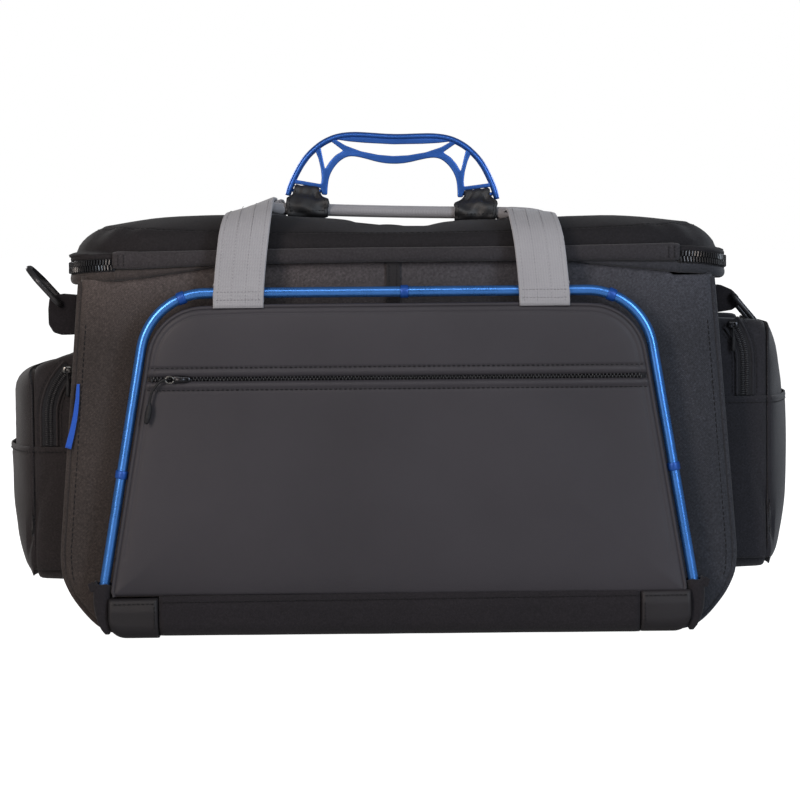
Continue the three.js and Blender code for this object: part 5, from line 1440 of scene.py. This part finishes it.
def carry(sy, tag):
    leg = fillet([(-157.4, 249.8), (-157.8, 262), (-155.4, 274), (-152.0, 294), (-141.0, 314), (-120, 324.4), (-86, 327.2), (-50, 327.0)], [0, 14, 30, 40, 34, 50, 60, 0], 8)
    leg = resample(leg, 3.0)
    tl_ = np.gradient(leg, axis=0)
    tl_ /= np.linalg.norm(tl_, axis=1)[:, None]
    nrm = np.stack([-tl_[:, 1], tl_[:, 0]], 1)
    xl, xr = -117.3, 109.8
    n = len(leg)
    bends = []
    GZ = 322.8

    def half(roll, lift):
        P, S, U, A, B, K, C = [], [], [], [], [], [], []
        for i in range(n):
            f = i / (n - 1)
            up = max(0.0, (f - 0.34) / 0.66)
            al = math.radians(roll) * math.sin(min(1, up * 1.25) * math.pi / 2)
            lean = 7.0 * np.clip((leg[i, 1] - 250) / 74, 0, 1) ** 1.5
            P.append((xl - 1.4 + lean + 1.0 * up, leg[i, 0], leg[i, 1] + lift * up * (1.2 - up)))
            nn = np.array([0, nrm[i, 0], nrm[i, 1]])
            s_ = np.array([math.cos(al), 0, 0]) + nn * math.sin(al)
            S.append(s_ / np.linalg.norm(s_))
            u = nn * math.cos(al) - np.array([math.sin(al), 0, 0])
            U.append(u / np.linalg.norm(u))
            A.append(TW / 2 * (1 - 0.06 * up))
            B.append(TT / 2)
            K.append(0.0)
            C.append(5.0 * max(0.0, up) ** 1.2)
        last = np.array(P[-1])
        cy = -30.9
        for k in range(1, 15):
            f = k / 14
            a_ = math.radians(90 * f)
            y = last[1] * (1 - f) ** 2 + cy * 2 * f * (1 - f) + (-6.9) * f ** 2
            x = last[0] * (1 - f) ** 2 + (last[0] + 1) * 2 * f * (1 - f) + (xl + 29) * f ** 2
            z = last[2] + (GZ - last[2]) * (f * f * (3 - 2 * f))
            P.append((x, y, z))
            al = math.radians(roll) * (1 - f)
            v = np.array((math.cos(a_) * math.cos(al), -math.sin(a_), math.sin(al) * math.cos(a_)))
            v /= np.linalg.norm(v)
            u = np.array((-math.sin(al), 0, math.cos(al)))
            u -= v * (u @ v)
            S.append(v)
            U.append(u / np.linalg.norm(u))
            A.append(TW / 2 * 0.94 + (5.6 - TW / 2 * 0.94) * min(1, f * 1.1) ** 0.8)
            B.append(TT / 2 + (4.9 - TT / 2) * f)
            K.append(f)
            C.append(5.0 * (1 - f) ** 2)
        return np.array(P), np.array(S), np.array(U), A, B, K, C

    P, S, U, A, B, K, C = half(19, -5.4)
    P2, S2, U2, A2, B2, K2, C2 = half(9, -3.4)
    cxm = xl + xr
    g0, g1 = P[-1], P2[-1].copy()
    g1[0] = cxm - g1[0]
    ng = 50
    gx = np.linspace(g0[0], g1[0], ng + 2)[1:-1]
    GP = np.stack([gx, np.full(ng, g0[1]), GZ - 0.6 * np.sin(np.linspace(0, math.pi, ng))], 1)
    P2 = P2[::-1].copy()
    P2[:, 0] = cxm - P2[:, 0]
    flipx = np.array([-1, 1, 1])
    allP = np.vstack([P, GP, P2])
    # carried on round the mirrored half, the section keeps its handedness
    allS = np.vstack([S, np.tile([0, -1.0, 0], (ng, 1)), -S2[::-1] * flipx])
    allU = np.vstack([U, np.tile([0, 0, 1.0], (ng, 1)), U2[::-1] * flipx])
    A = A + [5.6] * ng + A2[::-1]
    B = B + [4.9] * ng + B2[::-1]
    K = K + [1.0] * ng + K2[::-1]
    C = C + [0.0] * ng + C2[::-1]
    # the far half's side direction is turned over so the grip joins without a twist
    allS[n + 14 + ng:] *= np.where(allS[n + 14 + ng, 1] > 0, -1, 1)
    wt = np.clip((allP[:, 2] - 296) / 22, 0, 1)
    allP[:, 2] -= TILT * (allP[:, 0] - HX) * wt
    secs = []
    for j_, (a_, b_, k) in enumerate(zip(A, B, K)):
        fl = flat_sec(a_, b_, 36)
        th = np.arctan2(fl[:, 1] / max(b_, 1e-6), fl[:, 0] / a_)
        ov = np.stack([5.9 * np.cos(th), 4.9 * np.sin(th)], 1)
        ov[:, 1] -= 0.9 * np.exp(-((ov[:, 0] - 1.5) / 0.8) ** 2) * (ov[:, 1] > 0)
        w_ = k ** 2
        # the cloth crowns across its width: the outer edge falls away most
        q_ = fl[:, 0] / max(a_, 1e-6) * (1 if j_ < len(A) / 2 else -1)
        fl[:, 1] -= C[j_] * np.where(q_ < 0, 1.0, 0.45) * q_ ** 2
        secs.append(fl * (1 - w_) + ov * w_)
    mir = np.array([1, -1, 1]) if sy > 0 else np.array([1, 1, 1])
    allP, allS, allU = allP * mir, allS * mir, allU * mir
    sweep("strap_" + tag, allP, secs, WEB, tag + "_strap", side=allS, up=allU, slot="webbing", replaces=tag + "_carry_strap")
    # four rows of stitches down each leg, and two across where it is sewn under the tube
    for side_i, base in ((0, range(1, int(n * 0.64))), (1, range(len(allP) - int(n * 0.64), len(allP) - 1))):
        idx = list(base)
        for q in (-15.2, -5.3, 5.3, 15.2):
            path = np.array([allP[i] + allS[i] * q * (A[i] / (TW / 2)) + allU[i] * (TT / 2 - 0.14 - C[i] * (1.0 if (q < 0) == (side_i == 0) else 0.45) * (q / (TW / 2)) ** 2) for i in idx])
            stitches("strap_%s_stitches_%d_%d" % (tag, side_i, int(q + 16)), path, np.array([allU[i] for i in idx]), THREADW, tag + "_strap", pitch=2.6, length=1.5, w=0.6, h=0.4, slot="webbing")
        k0 = 3 if side_i == 0 else len(allP) - 4
        for dz in (-1, 1):
            pa, pb = allP[k0 + dz] + allS[k0] * 17 + allU[k0] * TT / 2, allP[k0 + dz] - allS[k0] * 17 + allU[k0] * TT / 2
            stitches("strap_%s_bar_%d_%d" % (tag, side_i, dz + 1), np.array([pa, pb]), allU[k0], THREADW, tag + "_strap", pitch=2.6, length=1.7, w=0.6, h=0.4, slot="webbing")
    # eye round the tube
    for xx, nm in ((xl - 1.4, "l"), (xr + 1.4, "r")):
        e = arc(0, 0, 6.5, 180, 480, 30)
        y = sy * 150 + (e[:, 0] if sy < 0 else -e[:, 0])
        q = np.stack([np.full(len(e), xx), y, 261 + e[:, 1]], 1)
        tt = np.gradient(q, axis=0)
        tt /= np.linalg.norm(tt, axis=1)[:, None]
        sd = np.tile([1.0, 0, 0], (len(q), 1))
        sweep("strap_%s_eye_%s" % (tag, nm), q, rbox(19, 1.1, 0.9, 4), WEB, tag + "_strap", side=sd, up=np.cross(tt, sd), slot="webbing")
    return allP


HX = -2.6
carry(-1, "front")
carry(1, "rear")
for tag, y, s in (("front", -6.9, -1), ("rear", 6.9, 1)):
    p = np.array([(-82, y + s * 4.1, 319.9 + TILT * 78), (75, y + s * 4.1, 319.9 - TILT * 79)])
    stitches("grip_stitches_" + tag, p, (0, s, -0.8), THREADG, tag + "_strap", pitch=3.4, length=2.3, w=0.7, slot="webbing")

# ------------------------------------------------------------------ leather loops
def loop(cx, tag, seed, topdx, lean):
    line = fillet([(-4.7, 341.0), (4.7, 341.0), (7.2, 334.6), (15.6, 325.0), (16.0, 316.6), (-16.0, 316.6), (-15.6, 325.0), (-7.2, 334.6)], [3.6, 3.6, 8, 8, 5.0, 5.0, 8, 8], 10, True)
    line = resample(line, 1.1, closed=True)
    line = smooth_path(line, 2, closed=True)
    t = np.roll(line, -1, 0) - np.roll(line, 1, 0)
    t /= np.linalg.norm(t, axis=1)[:, None]
    nr = np.stack([t[:, 1], -t[:, 0]], 1)
    if (nr * (line - [0, 329])).sum() < 0:
        nr = -nr
    m = 30
    secs_u = np.linspace(-1, 1, m)
    V = []
    r = np.random.default_rng(seed)
    ph = r.uniform(0, 6.28, 6)

    def width(z):
        return np.interp(z, [317, 321, 325, 328, 330, 332, 334, 337, 342], [16.0, 16.4, 16.9, 17.0, 16.3, 13.8, 11.8, 10.4, 9.9])

    def off_at(a, y, z, th):
        f = np.clip((337 - z) / 9, 0, 1)
        buck = 0.75 * math.sin(a * 4.6 + ph[0] + z * 0.3) * f + 0.5 * math.sin(z * 0.75 + a * 3.1 + ph[1]) * f + 0.3 * math.sin(a * 9 + ph[2] - z * 0.5)
        belly = 2.0 * (1 - a * a) * math.exp(-((z - 327) / 6) ** 2)
        ear = 3.4 * abs(a) ** 5 * math.exp(-((z - 329.0) / 3.0) ** 2)
        dimple = 1.5 * math.exp(-((abs(a) - 0.55) / 0.16) ** 2) * math.exp(-((z - 333) / 4) ** 2)
        return th + (buck + belly + ear - dimple) * (1 if z > 318.5 else 0.25)

    dz = -TILT * (cx - HX)

    def place(a, wd, y, z, i, o_):
        t_ = min(1, max(0, (z - 322) / 16))
        return (cx + topdx * t_ + a * wd * (1 + 0.02 * math.sin(z * 1.1 + ph[3])), y + nr[i, 0] * o_, z + nr[i, 1] * o_ + dz - lean * a * wd * t_)

    for i, (y, z) in enumerate(line):
        wd = float(width(z))
        for k, a in enumerate(np.r_[secs_u, secs_u[::-1]]):
            th = 0.85 if k < m else -0.85
            th *= (1 - 0.7 * max(0, abs(a) - 0.86) / 0.14)
            o_ = off_at(a, y, z, th)
            V.append(place(a, wd, y, z, i, o_))
    o = make("leather_strap_" + tag, V, grid_faces(len(line), 2 * m, True, True), LEA, "front_strap", slot="loop_leather", replaces="leather_loop_" + tag)
    fix_normals(o)
    for a in (-0.84, 0.84):
        q, nn = [], []
        for i, (y, z) in enumerate(line):
            o_ = off_at(a, y, z, 0.95)
            q.append(place(a, float(width(z)), y, z, i, o_))
            nn.append((0, nr[i, 0], nr[i, 1]))
        stitches("leather_stitches_%s_%s" % (tag, "a" if a < 0 else "b"), np.array(q), np.array(nn), THREAD, "front_strap", pitch=3.0, length=2.1, w=0.6, h=0.5, slot="loop_leather")
    for s_ in (-1, 1):
        q = [(cx + a * float(width(321.5)) * 0.84, s_ * (15.9 + off_at(a, 0, 321.5, 0.9)), 321.5 + dz) for a in np.linspace(-1, 1, 24)]
        stitches("leather_row_%s_%s" % (tag, "f" if s_ < 0 else "r"), np.array(q), (0, s_, 0), THREAD, "front_strap", pitch=3.0, length=2.1, w=0.6, h=0.5, slot="loop_leather")


loop(-70.6, "left", 5, -0.8, 0.09)
loop(63.6, "right", 8, 1.9, -0.09)

# ------------------------------------------------------------------ grab handle
def tilt(o):
    """the casting leans a little to one side in its loops"""
    co = np.zeros(len(o.data.vertices) * 3)
    o.data.vertices.foreach_get("co", co)
    co = co.reshape(-1, 3)
    c = np.array([(HX + SX) * 0.001, 0, 0.338])
    a = math.radians(1.5)
    d = co - c
    co2 = co.copy()
    co2[:, 0] = c[0] + d[:, 0] * math.cos(a) + d[:, 2] * math.sin(a)
    co2[:, 2] = c[2] - d[:, 0] * math.sin(a) + d[:, 2] * math.cos(a)
    o.data.vertices.foreach_set("co", co2.ravel())
    o.data.update()


outer = [(-86.5, 334.2), (-84.4, 341.5), (-79.6, 352.6), (-72.3, 365.0), (-62.2, 375.2), (-52.6, 381.2), (-43.0, 384.4), (-31.5, 385.6), (-17.8, 385.2), (-6, 384.6)]
outer = np.array(outer + [(-x, z) for x, z in outer[::-1]])


def catmull(points, n=6):
    p = np.asarray(points, float)
    N = len(p)
    out = []
    for i in range(N - 1):
        p0, p1, p2, p3 = p[max(i - 1, 0)], p[i], p[i + 1], p[min(i + 2, N - 1)]
        for k in range(n):
            t = k / n
            out.append(0.5 * ((2 * p1) + (-p0 + p2) * t + (2 * p0 - 5 * p1 + 4 * p2 - p3) * t * t + (-p0 + 3 * p1 - 3 * p2 + p3) * t ** 3))
    out.append(p[-1])
    return np.array(out)


ol = resample(catmull(outer, 8), 1.3)
ol = smooth_path(ol, 3)
tg = np.gradient(ol, axis=0)
tg /= np.linalg.norm(tg, axis=1)[:, None]
inw = np.stack([tg[:, 1], -tg[:, 0]], 1)
rib = ol + inw * 2.45
arch = [(52.4, 334.6), (52.2, 341), (51.2, 348.4), (49.0, 354.0), (46.0, 358.6), (42.4, 362.3), (38.4, 364.9), (34.0, 366.0), (28.4, 365.6), (21, 364.0), (14, 362.2), (7, 361.0), (0, 360.6)]
arch = np.array(arch + [(-x, z) for x, z in arch[-2::-1]])
arch = resample(catmull(arch, 5), 1.3)
plate = np.vstack([rib[1:-1], [(81.6, 334.6), (79.6, 343.4), (57.8, 340.2), (56.9, 334.6)], arch, [(-56.9, 334.6), (-57.8, 340.2), (-79.6, 343.4), (-81.6, 334.6)]])
lens = [(-46.5, 379.3), (-36, 377.9), (-23.3, 377), (0, 376.2), (23.3, 377), (36, 377.9), (46.5, 379.3), (38.5, 374.6), (26, 370.2), (12, 367.6), (0, 366.8), (-12, 367.6), (-26, 370.2), (-38.5, 374.6)]
leg_hole = [(-77.9, 346.4), (-75.2, 351.0), (-71.4, 357.6), (-66.2, 365.0), (-62.4, 369.4), (-60.0, 363.6), (-58.0, 355.6), (-57.2, 348.4), (-57.6, 343.3)]
small = [(-58.6, 373.6), (-51.0, 378.2), (-40.2, 370.4), (-46.4, 366.6), (-51.2, 361.2), (-54.6, 355.4), (-56.6, 364.4)]


def soft(points, step=1.0, times=1):
    return smooth_path(resample(points, step, closed=True), times, closed=True)


def flip(l):
    return [(-x, z) for x, z in l[::-1]]


cu = bpy.data.curves.new("grab_handle", "CURVE")
cu.dimensions = "2D"
cu.fill_mode = "BOTH"
BV = 0.7
for l in [soft(plate, 1.2), soft(lens), soft(leg_hole), soft(flip(leg_hole)), soft(small), soft(flip(small))]:
    s = cu.splines.new("POLY")
    s.points.add(len(l) - 1)
    for i, (x, z) in enumerate(l):
        s.points[i].co = ((x + HX + SX) * 0.001, z * 0.001, 0, 1)
    s.use_cyclic_u = True
cu.extrude = (2.6 - BV) * 0.001
cu.bevel_depth = BV * 0.001
cu.bevel_resolution = 2
cu.offset = -BV * 0.001
ho = bpy.data.objects.new("grab_handle_curve", cu)
sc.collection.objects.link(ho)
bpy.context.view_layer.update()
dg = bpy.context.evaluated_depsgraph_get()
hm = bpy.data.meshes.new_from_object(ho.evaluated_get(dg))
bpy.data.objects.remove(ho)
hm.name = "grab_handle"
hm.transform(Matrix.Translation((0, SY * 0.001, 0)) @ Matrix.Rotation(math.radians(90), 4, "X"))
hm.materials.clear()
hm.materials.append(CAST)
import bmesh
bm = bmesh.new()
bm.from_mesh(hm)
bmesh.ops.remove_doubles(bm, verts=bm.verts, dist=0.00002)
bmesh.ops.recalc_face_normals(bm, faces=bm.faces)
for e_ in bm.edges:
    if len(e_.link_faces) == 2 and e_.calc_face_angle(0) > 0.6:
        e_.smooth = False
bm.to_mesh(hm)
bm.free()
hm.polygons.foreach_set("use_smooth", [True] * len(hm.polygons))
hob = bpy.data.objects.new("grab_handle", hm)
sc.collection.objects.link(hob)
tilt(hob)
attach(hob, "handle")
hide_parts("top_handle")
# rounded rim round the outside of the casting
secs = []
for i in range(len(rib)):
    e_ = min(i, len(rib) - 1 - i)
    k_ = 0.86 + 0.14 * min(1, e_ / 4)
    secs.append(circle(2.5 * k_, 20, 3.9 * k_))
o = sweep("grab_handle_rim", np.stack([rib[:, 0] + HX, np.zeros(len(rib)), rib[:, 1]], 1), secs, CAST, None, ref=(0, -1, 0))
# rim's in-plane width runs along the sweep's side direction
tilt(o)
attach(o, "handle")
# the thin bars' crossing pins, wrapped by the leather
for sgn, tag in ((-1, "left"), (1, "right")):
    q = np.array([(HX + sgn * 57.0, 0, 337.7), (HX + sgn * 80.6, 0, 337.7)])
    o = sweep("grab_handle_pin_" + tag, resample(q, 3), circle(1.5, 14), CAST, None, ref=(0, -1, 0))
    tilt(o)
    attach(o, "handle")

# ------------------------------------------------------------------ rear: back pad, main sliders
def back_pad():
    nx, nz = 110, 70
    P = np.zeros((nx, nz, 3))
    X, Z = np.meshgrid(np.linspace(-119.6, 119.6, nx), np.linspace(66.3, 204.7, nz), indexing="ij")
    out = rrect(-120, 66, 120, 205, 14, 8)
    for i in range(nx):
        for j in range(nz):
            ex, ez = max(0, abs(X[i, j]) - 106), max(0, abs(Z[i, j] - 135.5) - 55.5)
            if ex and ez and math.hypot(ex, ez) > 13.8:
                k = 13.8 / math.hypot(ex, ez)
                X[i, j] = math.copysign(106 + ex * k, X[i, j])
                Z[i, j] = 135.5 + math.copysign(55.5 + ez * k, Z[i, j] - 135.5)
    d = seg_dist(np.stack([X.ravel(), Z.ravel()], 1), out).reshape(X.shape)
    q = np.abs(np.sin(math.pi * (X + 120) / 60)) ** 0.45 * np.clip(d / 8, 0, 1)
    y = 133.6 + 2.6 * q + 2.8 * (1 - np.exp(-d / 8)) - roll_edge(d + 0.3, 4)
    P = np.stack([X, y, Z], 2)
    closed_sheet("back_pad_quilted", P, lambda b: np.stack([b[:, 0], np.full(len(b), 130.2), b[:, 2]], 1), FAB2, "bag", slot="body_fabric", replaces="rear_back_pad", padded=0.8)
    for x in (-60, 0, 60):
        stitches("back_pad_stitches_%d" % (x + 60), np.array([(x, 136.6, 74), (x, 136.6, 197)]), (0, 1, 0), THREAD, "bag", pitch=3.6, length=2.5, w=0.7, slot="body_fabric")


back_pad()
for tag, x in (("left", -9.0), ("right", 9.0)):
    b = tag[0]
    V0, F0 = [], []
    sec = rrect(-6.3, ZC - 7.2, 6.3, ZC + 7.2, 3, 6)
    n, m = 5, len(sec)
    V = []
    for y, s in ((135.8, 0.97), (136.2, 1.0), (137.8, 1.0), (138.7, 0.93), (138.9, 0.8)):
        for q in sec:
            V.append((x + q[0] * s, y, ZC + (q[1] - ZC) * s))
    F = grid_faces(n, m, False, True) + [tuple(range(m)), tuple((n - 1) * m + j for j in range(m))[::-1]]
    fix_normals(make("main_slider_shell_" + tag, V, F, DARKM, "main_slider_" + b, slot="slider_metal", replaces="main_zip_slider_" + tag))
    br = smooth_path(resample(np.array([(x, 138.6, ZC + 5.5), (x, 141.6, ZC + 4), (x, 142.4, ZC), (x, 141.6, ZC - 4), (x, 138.6, ZC - 5.5)]), 1), 2)
    sweep("main_slider_bridge_" + tag, br, rbox(1.8, 0.55, 0.4), BRIGHT, "main_slider_" + b, ref=(0, 1, 0), slot="slider_metal")
    lp_ = fillet([(x - 3.6, ZC + 1.4), (x + 3.6, ZC + 1.4), (x + 4.6, ZC - 8), (x - 4.6, ZC - 8)], 1.2, 5, True)
    lp_ = resample(lp_, 0.8, closed=True)
    sweep("main_pull_wire_" + tag, np.stack([lp_[:, 0], np.full(len(lp_), 140.4), lp_[:, 1]], 1), circle(0.75, 8), BRIGHT, "main_pull_" + b, closed=True, ref=(0, 1, 0), slot="slider_metal")
    V = []
    sec = rrect(x - 4.9, 265.2, x + 4.9, ZC - 5.8, 2.2, 6)
    for y, s in ((139.6, 0.9), (139.9, 1), (141.2, 1), (141.6, 0.88)):
        cx_, cz_ = x, 269.5
        for q in sec:
            V.append((cx_ + (q[0] - cx_) * s, y, cz_ + (q[1] - cz_) * s))
    m = len(sec)
    F = grid_faces(4, m, False, True) + [tuple(range(m)), tuple(3 * m + j for j in range(m))[::-1]]
    fix_normals(make("main_pull_grip_" + tag, V, F, RUB, "main_pull_" + b, slot="pull_rubber", replaces="main_zip_pull_" + tag))
